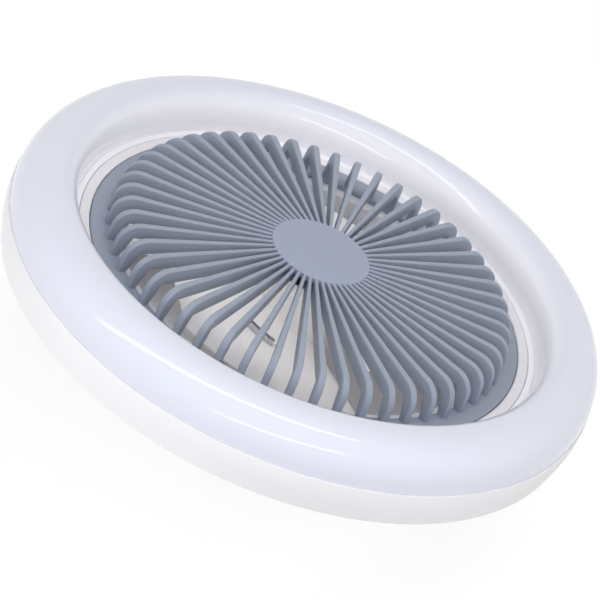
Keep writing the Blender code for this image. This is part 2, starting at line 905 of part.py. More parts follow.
def make_pedestal(look):
    foot = pedestal_base()
    head = pedestal_top()
    tube_hole = bearing_tube_radius + piece_gap
    section = [
        (pedestal_bore_radius, foot), (pedestal_foot_radius, foot),
        (pedestal_foot_radius, foot + pedestal_foot_thickness),
        (pedestal_column_radius, foot + pedestal_foot_thickness),
        (pedestal_column_radius, head - pedestal_head_thickness - pedestal_flare),
        (pedestal_head_radius, head - pedestal_head_thickness), (pedestal_head_radius, head),
        (tube_hole, head), (tube_hole, head - pedestal_head_thickness),
        (pedestal_bore_radius, head - pedestal_head_thickness),
    ]
    pedestal = turned("motor_pedestal", at_levels(section), fine_steps, look)
    low, high = level(foot - overrun), level(foot + pedestal_foot_thickness + overrun)
    holes = [
        rod(case_screw_radius + piece_gap, low, high, place) for place in pedestal_screw_places()
    ]
    wire_low = level(head - pedestal_head_thickness - pedestal_flare)
    wire_place = (0, motor_wire_hole_reach + piece_gap)
    wire_hole = rod(motor_wire_hole_radius, wire_low, level(head + overrun), wire_place)
    half = pedestal_notch_width / 2
    middle = -light_lead_shift()
    notch = block(
        "notch", (-pedestal_foot_radius - overrun, middle - half, level(foot - overrun)),
        (-piece_gap, middle + half, level(foot + pedestal_notch_height)), None,
    )
    holes += [rotated(wire_hole, driver_turn), rotated(notch, driver_turn)]
    return cut(pedestal, holes)


def make_motor_board(look):
    front = motor_board_front()
    back = front - motor_board_thickness
    bore = bearing_tube_radius + piece_gap
    section = [(bore, front), (motor_board_radius, front), (motor_board_radius, back), (bore, back)]
    return turned("motor_board", at_levels(section), fine_steps, look)


def make_stator_core(look):
    """Laminated core: a hub with six teeth, each with a curved head."""
    outline = []
    head_inner = core_radius - tooth_head_thickness
    root_turn = asin(tooth_width / 2 / core_hub_radius)
    neck_turn = asin(tooth_width / 2 / head_inner)
    for index in range(tooth_count):
        middle = full_turn * index / tooth_count
        outline.append(around(core_hub_radius, middle - root_turn))
        outline.append(around(head_inner, middle - neck_turn))
        outline.append(around(head_inner + tooth_head_thickness / 2, middle - tooth_head_half_turn))
        for step in range(tooth_head_steps + 1):
            turn = middle - tooth_head_half_turn + 2 * tooth_head_half_turn * step / tooth_head_steps
            outline.append(around(core_radius, turn))
        outline.append(around(head_inner + tooth_head_thickness / 2, middle + tooth_head_half_turn))
        outline.append(around(head_inner, middle + neck_turn))
        outline.append(around(core_hub_radius, middle + root_turn))
    low, high = level(stack_front()), level(stack_back())
    core = upright_prism("stator_core", outline, low, high, look)
    bore = bearing_tube_radius + piece_gap
    return cut(core, [rod(bore, low - overrun, high + overrun, steps=fine_steps)])


def make_coil(name, turn, look):
    """One winding: a rounded frame round its tooth."""
    half_hole = tooth_width / 2 + piece_gap
    half_out = half_hole + coil_side_thickness
    hole_low, hole_high = stack_back() - piece_gap, stack_front() + piece_gap
    rounding = coil_end_thickness * 0.6
    outer = []
    for side, low_end in ((1, False), (-1, False), (-1, True), (1, True)):
        end = coil_back() if low_end else coil_front()
        inward = 1 if low_end else -1
        points = [(side * half_out, end + inward * rounding), (side * (half_out - rounding), end)]
        outer += points if (side > 0) != low_end else points[::-1]
    inner = []
    for side, height in ((1, hole_high), (-1, hole_high), (-1, hole_low), (1, hole_low)):
        inner += [(side * half_hole, height)] * 2
    shape = bmesh.new()
    loops = []
    for radius, loop in ((coil_inner_radius, outer), (coil_outer_radius, outer)):
        loops.append([shape.verts.new((radius, across, level(height))) for across, height in loop])
    for radius in (coil_outer_radius, coil_inner_radius):
        corners = [shape.verts.new((radius, across, level(height))) for across, height in inner[::2]]
        loops.append([corner for corner in corners for _ in (0, 1)])
    for first, second in zip(loops, loops[1:] + loops[:1]):
        count = len(first)
        for index in range(count):
            after = (index + 1) % count
            ring = [first[index], first[after], second[after], second[index]]
            face = list(dict.fromkeys(ring))
            if len(face) > 2:
                shape.faces.new(face)
    return rotated(finished(name, shape, look, False), turn)


def make_bearing_tube(look):
    front = coil_front() + bearing_tube_reach
    back = pedestal_top() - pedestal_head_thickness - bearing_tube_reach
    section = [
        (bearing_tube_bore, front), (bearing_tube_radius, front),
        (bearing_tube_radius, back), (bearing_tube_bore, back),
    ]
    return turned("bearing_tube", at_levels(section), fine_steps, look)


def make_bearing(name, outer_end, direction, look):
    """A plain bearing in the tube's end; direction points into the tube."""
    start = outer_end + direction * bearing_inset
    end = start + direction * bearing_length
    outer = bearing_tube_bore - piece_gap / 3
    inner = shaft_radius + piece_gap / 3
    section = [(inner, start), (outer, start), (outer, end), (inner, end)]
    return turned(name, at_levels(section), fine_steps, look)


def make_rotor_bell(look):
    front = bell_front_height
    inside = bell_radius - bell_wall
    hole = shaft_radius + piece_gap / 3
    section = [
        (hole, front), (bell_radius - bell_wall, front), (bell_radius, front - bell_wall),
        (bell_radius, front - bell_length), (inside, front - bell_length),
        (inside, front - bell_wall), (hole, front - bell_wall),
    ]
    bell = turned("rotor_bell", at_levels(section), middle_steps, look)
    windows = []
    low, high = level(front + overrun), level(front - bell_wall - overrun)
    spread = [2 * step / bell_window_steps - 1 for step in range(bell_window_steps + 1)]
    turns = [bell_window_half_turn * share for share in spread]
    outline = [around(bell_window_outer_radius, turn) for turn in turns]
    outline += [around(bell_window_inner_radius, turn) for turn in reversed(turns)]
    for index in range(bell_window_count):
        window = upright_prism("window", outline, low, high, None)
        windows.append(rotated(window, full_turn * index / bell_window_count))
    hole = web_screw_radius + piece_gap / 2
    holes = [rod(hole, low, high, place) for place in web_screw_places()]
    return cut(bell, windows + holes)


def make_magnet_ring(look):
    front = bell_front_height - bell_wall - magnet_setback
    outer = magnet_outer_radius
    inner = outer - magnet_thickness
    back = front - magnet_length
    section = [(inner, front), (outer, front), (outer, back), (inner, back)]
    return turned("magnet_ring", at_levels(section), middle_steps, look)


def shaft_back():
    return pedestal_top() - pedestal_head_thickness - bearing_tube_reach - shaft_tail_length


def make_shaft(look):
    front = bell_front_height + shaft_tip_length
    section = [(0, front), (shaft_radius, front), (shaft_radius, shaft_back()), (0, shaft_back())]
    return turned("motor_shaft", at_levels(section), small_steps, look)


def make_shaft_clip(look):
    """The retaining ring behind the bearing tube."""
    front = pedestal_top() - pedestal_head_thickness - bearing_tube_reach - piece_gap
    back = front - clip_thickness
    bore = shaft_radius + piece_gap / 3
    section = [(bore, front), (clip_radius, front), (clip_radius, back), (bore, back)]
    return turned("shaft_clip", at_levels(section), small_steps, look)


def web_level():
    """Front face of the impeller's web."""
    return bell_front_height + piece_gap + web_thickness


def web_screw_places():
    turns = [full_turn * (index + 0.5) / blade_count for index in range(blade_count)]
    return [around(web_screw_circle_radius, turn) for turn in turns]


def blade_width(sweep):
    return blade_tip_width + sweep


def blade_depth(across):
    """Depth of the blade's middle face, across from its front edge to its rear edge."""
    return blade_front_depth + blade_drop * across - blade_crown * sin(pi * across)


def blade_root_radius():
    return bell_radius + impeller_hub_clearance + impeller_hub_wall - blade_root_sink


def blade_point(row, column, side):
    """A point of the blade's front face (side 1) or rear face (side -1).

    Rows run from its front edge to its rear edge, columns from its root to its tip.
    """
    across = row / (blade_rows - 1)
    share = column / (blade_columns - 1)
    radius = blade_root_radius() + (impeller_radius - blade_root_radius()) * share
    sweep = blade_sweep * min(1, (1 - share) / blade_sweep_share) ** 2
    turn = blade_turn + sweep - blade_width(sweep) * across
    thickness = blade_root_thickness + (blade_tip_thickness - blade_root_thickness) * share
    half = thickness / 2 * (blade_edge_share + (1 - blade_edge_share) * sin(pi * across))
    return Vector((*around(radius, turn), level(side * half - blade_depth(across))))


def make_blade(turn):
    """A thin swept blade, closed all round."""
    shape = bmesh.new()
    front, back = (
        [
            [shape.verts.new(blade_point(row, column, side)) for column in range(blade_columns)]
            for row in range(blade_rows)
        ]
        for side in (1, -1)
    )
    for grid in (front, back):
        for row in range(blade_rows - 1):
            for column in range(blade_columns - 1):
                shape.faces.new((
                    grid[row][column], grid[row][column + 1],
                    grid[row + 1][column + 1], grid[row + 1][column],
                ))
    rim = [(0, column) for column in range(blade_columns)]
    rim += [(row, blade_columns - 1) for row in range(1, blade_rows)]
    rim += [(blade_rows - 1, column) for column in reversed(range(blade_columns - 1))]
    rim += [(row, 0) for row in reversed(range(1, blade_rows - 1))]
    for (row, column), (next_row, next_column) in zip(rim, rim[1:] + rim[:1]):
        shape.faces.new((
            front[row][column], front[next_row][next_column],
            back[next_row][next_column], back[row][column],
        ))
    bmesh.ops.triangulate(shape, faces=shape.faces)
    return rotated(finished("blade", shape, None), turn)


def make_impeller(look):
    web = web_level()
    hub_inner = bell_radius + impeller_hub_clearance
    hub_outer = hub_inner + impeller_hub_wall
    back = -blade_front_depth - blade_drop - hub_end_margin
    section = [
        (web_inner_radius, web), (hub_outer, web), (hub_outer, back), (hub_inner, back),
        (hub_inner, web - web_thickness), (web_inner_radius, web - web_thickness),
    ]
    impeller = turned("impeller", at_levels(section), middle_steps, look)
    turns = [full_turn * index / blade_count for index in range(blade_count)]
    united(impeller, [make_blade(turn) for turn in turns])
    united(impeller, [make_rail(turn) for turn in turns])
    hole = web_screw_radius + piece_gap / 2
    low, high = level(web + overrun), level(web - web_thickness - overrun)
    return cut(impeller, [rod(hole, low, high, place) for place in web_screw_places()])


def rail_radius():
    return blade_root_radius() + (impeller_radius - blade_root_radius()) * rail_share


def rail_stations(half_turn):
    """Turns along the rail, each with the height of the rail's front edge there."""
    stations = []
    for step in range(rail_steps + 1):
        turn = rail_turn + half_turn * (2 * step / rail_steps - 1)
        across = (blade_turn + blade_sweep - turn) / blade_width(blade_sweep)
        stations.append((turn, level(rail_rise - blade_depth(across))))
    return stations


def make_rail(turn):
    """A low concentric rail that rises from the blade's front face."""
    inner, outer = rail_radius() - rail_thickness / 2, rail_radius() + rail_thickness / 2
    loops = []
    for place, front in rail_stations(rail_half_turn):
        back = front + rail_rise
        loops.append([
            (*around(inner, place), front), (*around(outer, place), front),
            (*around(outer, place), back), (*around(inner, place), back),
        ])
    return rotated(loft("rail", loops, None), turn)


def make_balance_clip(look):
    """The steel channel, curved like the rail that it grips."""
    inner = rail_radius() - rail_thickness / 2 - piece_gap
    outer = rail_radius() + rail_thickness / 2 + piece_gap
    outline = [
        (inner, -piece_gap), (inner, clip_height), (inner - clip_wall, clip_height),
        (inner - clip_wall, -piece_gap - clip_wall), (outer + clip_wall, -piece_gap - clip_wall),
        (outer + clip_wall, clip_height), (outer, clip_height), (outer, -piece_gap),
    ]
    loops = [
        [(*around(radius, turn), front + lift) for radius, lift in outline]
        for turn, front in rail_stations(clip_half_turn)
    ]
    return loft("balance_clip", loops, look)


def driver_top():
    return driver_foot() + driver_board_height


def driver_foot():
    """The board stands on the rear housing's floor."""
    return -neck_length + piece_gap


def make_driver_board(look):
    half = driver_board_width / 2
    low, high = (-half, -driver_board_thickness, driver_foot()), (half, 0, driver_top())
    return rotated(block("driver_board", low, high, look), driver_turn)


def board_place(shares):
    """Point of the driver board that lies at those shares of its width and its height."""
    return (shares[0] * driver_board_width, shares[1] * driver_board_height)


def make_boxed_component(name, shares, place_shares, look):
    """A box-shaped component on the front of the driver board."""
    width, depth = shares[0] * driver_board_width, shares[1] * driver_board_width
    height = shares[2] * driver_board_height
    x, z = board_place(place_shares)
    low = driver_foot() + z - height / 2
    made = block(
        name, (x - width / 2, piece_gap, low), (x + width / 2, piece_gap + depth, low + height),
        look, component_chamfer,
    )
    return rotated(made, driver_turn)


def make_lying_can(name, radius_share, length_share, place_shares, side, look):
    """A round component that lies across the board's front or, with a side of -1, its back."""
    radius, length = radius_share * driver_board_height, length_share * driver_board_width
    x, z = board_place(place_shares)
    rim = component_chamfer
    section = [
        (0, 0), (radius - rim, 0), (radius, rim),
        (radius, length - rim), (radius - rim, length), (0, length),
    ]
    made = turned(name, section, small_steps, look)
    face = 0 if side > 0 else -driver_board_thickness
    lift = Matrix.Translation((x - length / 2, face + side * (piece_gap + radius), driver_foot() + z))
    made.data.transform(lift @ Matrix.Rotation(pi / 2, 4, "Y"))
    return rotated(made, driver_turn)


def make_lead(name, route, look):
    """A round lead along a smooth curve through its route."""
    points = smooth_route([Vector(point) for point in route])
    curve = bpy.data.curves.new(name, "CURVE")
    curve.dimensions = "3D"
    curve.bevel_depth = lead_radius
    curve.bevel_resolution = lead_sides
    curve.use_fill_caps = True
    spline = curve.splines.new("POLY")
    spline.points.add(len(points) - 1)
    for place, point in zip(spline.points, points):
        place.co = (*point, 1)
    curve.materials.append(look)
    made = bpy.data.objects.new(name, curve)
    bpy.context.scene.collection.objects.link(made)
    return rotated(made, driver_turn)


def smooth_route(route):
    """Points along a Catmull-Rom curve through the route, about three diameters apart."""
    ends = [2 * route[0] - route[1]] + route + [2 * route[-1] - route[-2]]
    points = []
    for before, start, end, after in zip(ends, ends[1:], ends[2:], ends[3:]):
        count = max(1, round((end - start).length / (6 * lead_radius)))
        for step in range(count):
            share = step / count
            points.append(0.5 * (
                2 * start + (end - before) * share
                + (2 * before - 5 * start + 4 * end - after) * share ** 2
                + (3 * start - before - 3 * end + after) * share ** 3
            ))
    return points + [route[-1]]


def make_leads(live_look, neutral_look):
    contact_foot = insulator_top() + piece_gap - contact_stem_length - lead_end_gap
    board_top = driver_top() + lead_end_gap
    board_middle = -driver_board_thickness / 2
    bend = lead_spacing
    neutral_x = -plug_bore_radius + 2 * lead_radius
    shell_wall = -shell_bore_radius + lead_radius + piece_gap
    make_lead("live_lead", [
        (0, 0, contact_foot), (0, 0, plug_height), (bend, board_middle, -neck_chamfer),
        (bend, board_middle, board_top),
    ], live_look)
    make_lead("neutral_lead", [
        (shell_wall, 0, shell_height - bend), (shell_wall, 0, plug_height + 3 * bend),
        (neutral_x, 0, plug_height + bend / 2), (neutral_x, 0, plug_height - bend),
        (neutral_x, board_middle, -neck_chamfer),
        (neutral_x, board_middle, board_top),
    ], neutral_look)
    front = piece_gap + lead_radius
    floor = level(pedestal_base())
    column = level(pedestal_top() - pedestal_head_thickness)
    motor_leads = (("motor_lead_red", live_look), ("motor_lead_black", neutral_look))
    for index, (name, look) in enumerate(motor_leads):
        x = (index - 0.5) * 2 * (lead_radius + piece_gap)
        make_lead(name, [
            (x, front + bend, driver_foot() + bend), (x, front + bend, floor),
            (x, motor_wire_hole_reach, floor - pedestal_notch_height),
            (x, motor_wire_hole_reach, column + pedestal_flare),
            (x, motor_wire_hole_reach, level(motor_board_front() - motor_board_thickness) + lead_end_gap),
        ], look)
    inner_low = dome_height(light_lead_inner_radius, dome_wall) + 2 * bend
    outer_low = dome_height(light_lead_outer_radius, dome_wall) + 2 * bend
    last = board_lead_radius()
    light_leads = (("light_lead_red", live_look), ("light_lead_black", neutral_look))
    for index, (name, look) in enumerate(light_leads):
        y = (index - 0.5) * 2 * (lead_radius + piece_gap)
        start = -pedestal_bore_radius + 2 * lead_spacing
        run = pedestal_base() + bend
        behind = y - light_lead_shift()
        make_lead(name, [
            (start, behind, driver_foot() + bend), (start, behind, floor),
            (-pedestal_column_radius, behind, level(run)),
            (-pedestal_foot_radius - bend, behind, level(run)),
            (-light_lead_inner_radius, y, level(inner_low)),
            (-light_lead_outer_radius, y, level(outer_low)),
            (-last, y, level(-floor_depth - floor_thickness - 3 * bend)),
            (-last, y, level(-floor_depth + piece_gap - lead_end_gap)),
        ], look)


def main():
    for old in list(bpy.data.objects):
        bpy.data.objects.remove(old)

    white = surface("white plastic", (0.86, 0.85, 0.87), 0.42)
    milky = surface("milky plastic", (0.80, 0.83, 0.92), 0.30)
    slate = surface("blue grey plastic", (0.32, 0.37, 0.45), 0.55)
    plated = surface("nickel plating", (0.72, 0.70, 0.66), 0.25, 1.0)
    black = surface("black insulator", (0.02, 0.02, 0.025), 0.35)
    tin = surface("tinned contact", (0.62, 0.60, 0.56), 0.35, 1.0)
    steel = surface("bright steel", (0.60, 0.60, 0.61), 0.28, 1.0)
    board_white = surface("white board", (0.88, 0.88, 0.86), 0.50)
    board_green = surface("green board", (0.03, 0.16, 0.07), 0.45)
    copper = surface("copper winding", (0.66, 0.28, 0.14), 0.35, 1.0)
    core_steel = surface("core steel", (0.38, 0.38, 0.40), 0.45, 1.0)
    bell_steel = surface("bell steel", (0.50, 0.51, 0.53), 0.35, 1.0)
    ferrite = surface("ferrite magnet", (0.06, 0.06, 0.07), 0.60)
    bronze = surface("sintered bronze", (0.60, 0.42, 0.22), 0.50, 1.0)
    pale = surface("pale plastic", (0.74, 0.73, 0.74), 0.45)
    cast = surface("cast aluminium", (0.62, 0.63, 0.65), 0.50, 1.0)
    tape_yellow = surface("yellow tape", (0.72, 0.50, 0.06), 0.45)
    sleeve_black = surface("capacitor sleeve", (0.03, 0.03, 0.04), 0.35)
    film_red = surface("film capacitor case", (0.50, 0.06, 0.04), 0.40)
    lead_red = surface("red lead", (0.55, 0.03, 0.03), 0.45)
    lead_black = surface("black lead", (0.02, 0.02, 0.02), 0.45)

    make_screw_shell(plated)
    make_cap_insulator(black)
    make_centre_contact(tin)
    make_neck(white)
    make_rear_housing(white)
    make_front_housing(white)
    make_light_board(board_white)
    make_diffuser(milky)
    make_grille(slate)

    for index, turn in enumerate(screw_positions):
        make_screw(
            f"case_screw_{index + 1}", steel, level(head_seat()), 1, around(boss_circle_radius, turn),
            case_screw_radius, case_screw_length, case_head_radius, case_head_height,
        )
    board_seat = level(-floor_depth + piece_gap + board_thickness) - piece_gap
    for index, place in enumerate(board_screw_places()):
        make_screw(
            f"light_board_screw_{index + 1}", steel, board_seat, -1, place,
            board_screw_radius, board_screw_length, board_head_radius, board_head_height,
        )
    pedestal_seat = level(pedestal_base() + pedestal_foot_thickness) - piece_gap
    for index, place in enumerate(pedestal_screw_places()):
        make_screw(
            f"pedestal_screw_{index + 1}", steel, pedestal_seat, -1, place,
            case_screw_radius, pedestal_screw_length, case_head_radius, case_head_height,
        )

    neck_seat = level(pedestal_base())
    for index, place in enumerate(neck_screw_places()):
        make_screw(
            f"neck_screw_{index + 1}", steel, neck_seat, -1, place,
            case_screw_radius, neck_screw_length, case_head_radius, case_head_height,
        )

    make_pedestal(cast)
    make_motor_board(board_green)
    make_bearing_tube(steel)
    make_bearing("front_bearing", coil_front() + bearing_tube_reach, -1, bronze)
    make_bearing("rear_bearing", pedestal_top() - pedestal_head_thickness - bearing_tube_reach, 1, bronze)
    make_stator_core(core_steel)
    for index in range(tooth_count):
        make_coil(f"coil_{index + 1}", full_turn * index / tooth_count, copper)

    make_rotor_bell(bell_steel)
    make_magnet_ring(ferrite)
    make_shaft(steel)
    make_shaft_clip(steel)
    make_impeller(pale)
    make_balance_clip(steel)
    web_seat = level(web_level()) - piece_gap / 2
    for index, place in enumerate(web_screw_places()):
        make_screw(
            f"impeller_screw_{index + 1}", steel, web_seat, -1, place,
            web_screw_radius, web_screw_length, web_head_radius, web_head_height,
        )

    make_driver_board(board_green)
    make_boxed_component("transformer", transformer_shares, transformer_place_shares, tape_yellow)
    make_boxed_component("film_capacitor", film_capacitor_shares, film_capacitor_place_shares, film_red)
    make_lying_can(
        "bulk_capacitor", capacitor_radius_share, capacitor_length_share, capacitor_place_shares, 1,
        sleeve_black,
    )
    make_lying_can(
        "inductor", inductor_radius_share, inductor_length_share, inductor_place_shares, -1, sleeve_black,
    )
    make_leads(lead_red, lead_black)


main()
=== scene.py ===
import bmesh
import bpy
import math
from mathutils import Matrix, Vector


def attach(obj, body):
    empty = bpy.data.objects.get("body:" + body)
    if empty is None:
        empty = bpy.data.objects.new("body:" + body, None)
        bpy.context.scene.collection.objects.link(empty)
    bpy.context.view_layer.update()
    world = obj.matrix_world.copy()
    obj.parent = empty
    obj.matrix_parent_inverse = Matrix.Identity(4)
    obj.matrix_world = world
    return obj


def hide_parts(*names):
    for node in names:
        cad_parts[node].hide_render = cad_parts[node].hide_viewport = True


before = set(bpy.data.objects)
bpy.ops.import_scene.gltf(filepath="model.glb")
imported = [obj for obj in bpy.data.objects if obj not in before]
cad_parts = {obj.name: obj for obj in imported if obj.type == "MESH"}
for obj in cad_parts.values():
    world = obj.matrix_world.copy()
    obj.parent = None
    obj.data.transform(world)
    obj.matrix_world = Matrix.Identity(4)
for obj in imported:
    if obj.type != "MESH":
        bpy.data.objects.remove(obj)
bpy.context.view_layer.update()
print("frame loaded with", len(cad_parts), "nodes")

jointPlane = -0.0715  # the plane where diffuser and skirt meet; the face looks down from there
fullTurn = 2 * math.pi
quarterTurn = math.pi / 2
onAxis = 0.00001  # a point with a smaller radius lies on the axis
past = 0.001  # a cutter reaches so far beyond the surface
mergeDistance = 0.000001
white = (1, 1, 1, 1)
# Roundings of moulded and pressed edges, in rising order
hair, fine, slight, small, soft, broad, full = 0.0001, 0.0002, 0.0003, 0.0004, 0.0005, 0.0006, 0.0008


def facing(height):  # a height in front of the joint plane, as a level of the frame
    return jointPlane - height


# Nodes

firstColour, secondColour, mixedColour = 6, 7, 2  # places of a Mix node's colour sockets


def fillNode(tree, node, inputs):  # an input is a value, a socket, or a node for its first socket
    for name, value in inputs.items():
        if isinstance(value, bpy.types.Node):
            value = value.outputs[0]
        if isinstance(value, bpy.types.NodeSocket):
            tree.links.new(value, node.inputs[name])
        else:
            node.inputs[name].default_value = value
    return node


def addNode(tree, kind, inputs=None, **settings):
    node = tree.nodes.new(kind)
    for name, value in settings.items():
        setattr(node, name, value)
    return fillNode(tree, node, inputs or {})


def addMath(tree, operation, first, second, **settings):
    return addNode(tree, "ShaderNodeMath", {0: first, 1: second}, operation=operation, **settings)


def mixShaders(tree, share, first, second):
    return addNode(tree, "ShaderNodeMixShader", {0: share, 1: first, 2: second})


# Finishes

reliefKinds = {  # kind of node, its inputs, its output and its settings
    "grain": ("ShaderNodeTexNoise", {"Detail": 2, "Roughness": 0.6}, "Fac", {}),
    "cells": ("ShaderNodeTexVoronoi", {}, "Distance", {}),
    "rings": (  # fine rings round the axis, as a lathe leaves them
        "ShaderNodeTexWave", {"Distortion": 0.6, "Detail": 1}, "Fac",
        {"wave_type": "RINGS", "rings_direction": "Z"},
    ),
}
cloudy = {"Detail": 3, "Roughness": 0.55}
patchy = {"Detail": 4, "Roughness": 0.6}
patchRange = {"From Min": 0.3, "From Max": 0.7}


def mixShades(tree, share, first, second):
    inputs = {"Factor": share, firstColour: first, secondColour: second}
    return addNode(tree, "ShaderNodeMix", inputs, data_type="RGBA").outputs[mixedColour]


def makeLook(name, settings):
    look = bpy.data.materials.new(name)
    look.use_nodes = True
    tree = look.node_tree
    place = addNode(tree, "ShaderNodeMapping", {
        "Vector": addNode(tree, "ShaderNodeTexCoord").outputs["Object"],
        "Location": (0, 0, -jointPlane), "Scale": settings.get("stretch", (1, 1, 1)),
    })
    colour = (*settings["colour"], 1)
    shader = fillNode(tree, tree.nodes["Principled BSDF"], {
        "Base Color": colour, "Metallic": settings.get("metal", 0), "Coat Weight": settings.get("coat", 0),
        "Coat Roughness": settings.get("coatRoughness", 0.1),
    })
    shade, scale = settings["drift"]  # slow change between two shades of the moulding or metal
    cloud = addNode(tree, "ShaderNodeTexNoise", {"Vector": place, "Scale": scale, **cloudy})
    tint = mixShades(tree, cloud, colour, (*shade, 1))
    if "inward" in settings:  # another shade towards the axis, painted light: paler there to stand in for the light that reaches it
        shade, inner, outer = settings["inward"]
        flat = addNode(tree, "ShaderNodeVectorMath", {0: place, 1: (1, 1, 0)}, operation="MULTIPLY")
        reach = addNode(tree, "ShaderNodeVectorMath", {0: flat}, operation="LENGTH").outputs["Value"]
        share = addNode(tree, "ShaderNodeMapRange", {
            "Value": reach, "From Min": outer, "From Max": inner,
        }, interpolation_type="SMOOTHSTEP")
        tint = mixShades(tree, share, tint, (*shade, 1))
        if "glow" in settings:  # painted glow: emission standing in for daylight that comes through the thin wall there
            glow = addMath(tree, "MULTIPLY", share, settings["glow"])
            fillNode(tree, shader, {"Emission Strength": glow, "Emission Color": (*shade, 1)})
    low, high, scale = settings["sheen"]  # roughness wanders between two values
    patches = addNode(tree, "ShaderNodeTexNoise", {"Vector": place, "Scale": scale, **patchy})
    rough = addNode(tree, "ShaderNodeMapRange", {
        "Value": patches, "To Min": low, "To Max": high, **patchRange,
    })
    below = {}
    for kind, scale, strength, depth in settings["relief"]:
        node, inputs, output, extra = reliefKinds[kind]
        inputs = {"Vector": place, "Scale": scale, **inputs}
        height = addNode(tree, node, inputs, **extra).outputs[output]
        below = {"Normal": addNode(tree, "ShaderNodeBump", {
            "Strength": strength, "Distance": depth, "Height": height, **below,
        })}
    fillNode(tree, shader, {"Base Color": tint, "Roughness": rough, **below})
    return look


# drift: second shade and how fine it is; sheen: lowest and highest roughness and how fine;
# inward: painted light, a third and paler shade, full within the first radius and gone at the second; glow:
# painted emission in that zone;
# relief: kind, how fine, strength and depth
finishes = {
    "white plastic": dict(
        colour=(0.86, 0.85, 0.88), drift=((0.84, 0.83, 0.855), 26), sheen=(0.34, 0.46, 60),
        relief=[("grain", 2600, 0.06, 0.0002), ("grain", 90, 0.05, 0.0006)],
    ),
    "milky plastic": dict(
        colour=(0.69, 0.71, 0.815), drift=((0.71, 0.73, 0.83), 14), sheen=(0.46, 0.54, 40),
        # the inner wall is painted paler and given a faint glow: painted light standing in for daylight
        # through the milky wall
        coat=1, coatRoughness=0.035, inward=((0.83, 0.82, 0.87), 0.1035, 0.111), glow=0.13,
        relief=[("grain", 60, 0.01, 0.0006)],
    ),
    "blue grey plastic": dict(
        # one plastic: the ribs' colour is painted darker and less blue as painted shade, and the hub's inward
        # shade is painted light
        colour=(0.3, 0.337, 0.418), drift=((0.318, 0.355, 0.436), 45), sheen=(0.42, 0.54, 120),
        inward=((0.333, 0.366, 0.478), 0.0215, 0.026),
        relief=[("grain", 3200, 0.1, 0.0002), ("cells", 1500, 0.05, 0.0002)],
    ),
    "pale plastic": dict(
        colour=(0.88, 0.85, 0.835), drift=((0.85, 0.82, 0.8), 40), sheen=(0.36, 0.5, 80),
        relief=[("grain", 2200, 0.07, 0.0002)],
    ),
    "nickel plating": dict(
        colour=(0.58, 0.56, 0.52), metal=1, drift=((0.5, 0.48, 0.44), 90),
        sheen=(0.16, 0.32, 160), relief=[("grain", 900, 0.05, 0.0002)],
    ),
    "black insulator": dict(
        colour=(0.015, 0.015, 0.018), drift=((0.03, 0.03, 0.034), 200), sheen=(0.22, 0.4, 240),
        relief=[("grain", 1800, 0.08, 0.0002)],
    ),
    "tinned contact": dict(
        colour=(0.6, 0.59, 0.56), metal=1, drift=((0.5, 0.49, 0.47), 500),
        sheen=(0.25, 0.5, 700), relief=[("grain", 700, 0.25, 0.0003)],
    ),
    "bright steel": dict(
        colour=(0.62, 0.62, 0.63), metal=1, drift=((0.52, 0.52, 0.54), 300),
        sheen=(0.2, 0.36, 500), relief=[("grain", 2400, 0.06, 0.0001)],
    ),
    "white board": dict(
        colour=(0.86, 0.86, 0.84), drift=((0.82, 0.82, 0.79), 70), sheen=(0.35, 0.5, 200),
        relief=[("grain", 1500, 0.05, 0.0001)],
    ),
    "green board": dict(
        colour=(0.02, 0.15, 0.06), drift=((0.035, 0.2, 0.08), 260), sheen=(0.25, 0.4, 300),
        relief=[("cells", 420, 0.2, 0.0002)],
    ),
    "copper winding": dict(
        colour=(0.6, 0.24, 0.11), metal=1, drift=((0.5, 0.17, 0.07), 700),
        sheen=(0.22, 0.38, 900), coat=0.6, coatRoughness=0.15,
        relief=[("grain", 1600, 0.1, 0.0001)],
    ),
    "core steel": dict(
        colour=(0.33, 0.33, 0.35), metal=1, drift=((0.25, 0.25, 0.27), 300),
        stretch=(1, 1, 8), sheen=(0.35, 0.55, 400), relief=[("grain", 500, 0.5, 0.0003)],
    ),
    "bell steel": dict(
        colour=(0.5, 0.51, 0.53), metal=1, drift=((0.42, 0.43, 0.45), 120),
        sheen=(0.28, 0.42, 200), relief=[("rings", 500, 0.12, 0.0001)],
    ),
    "ferrite magnet": dict(
        colour=(0.05, 0.05, 0.055), drift=((0.08, 0.078, 0.08), 320), sheen=(0.5, 0.7, 300),
        relief=[("grain", 1400, 0.3, 0.0002)],
    ),
    "sintered bronze": dict(
        colour=(0.55, 0.38, 0.19), metal=1, drift=((0.44, 0.29, 0.14), 900),
        sheen=(0.4, 0.6, 900), relief=[("cells", 1800, 0.3, 0.0002)],
    ),
    "cast aluminium": dict(
        colour=(0.6, 0.61, 0.63), metal=1, drift=((0.5, 0.51, 0.53), 160),
        sheen=(0.38, 0.58, 260), relief=[("grain", 700, 0.35, 0.0003)],
    ),
    "yellow tape": dict(
        colour=(0.7, 0.47, 0.05), drift=((0.62, 0.4, 0.03), 200), sheen=(0.25, 0.4, 150),
        relief=[("grain", 300, 0.2, 0.0003)],
    ),
    "capacitor sleeve": dict(
        colour=(0.02, 0.02, 0.028), drift=((0.035, 0.035, 0.045), 240), sheen=(0.22, 0.36, 300),
        relief=[("grain", 900, 0.12, 0.0002)],
    ),
    "film capacitor case": dict(
        colour=(0.46, 0.05, 0.035), drift=((0.38, 0.035, 0.025), 240), sheen=(0.25, 0.4, 300),
        relief=[("grain", 600, 0.25, 0.0003)],
    ),
    "red lead": dict(
        colour=(0.52, 0.025, 0.025), drift=((0.44, 0.02, 0.02), 400), sheen=(0.35, 0.5, 300),
        relief=[("grain", 1500, 0.15, 0.0001)],
    ),
    "black lead": dict(
        colour=(0.018, 0.018, 0.018), drift=((0.03, 0.03, 0.03), 400), sheen=(0.35, 0.5, 300),
        relief=[("grain", 1500, 0.15, 0.0001)],
    ),
}
looks = {name: makeLook(name, settings) for name, settings in finishes.items()}
print("finishes mixed:", len(looks))

# Making pieces

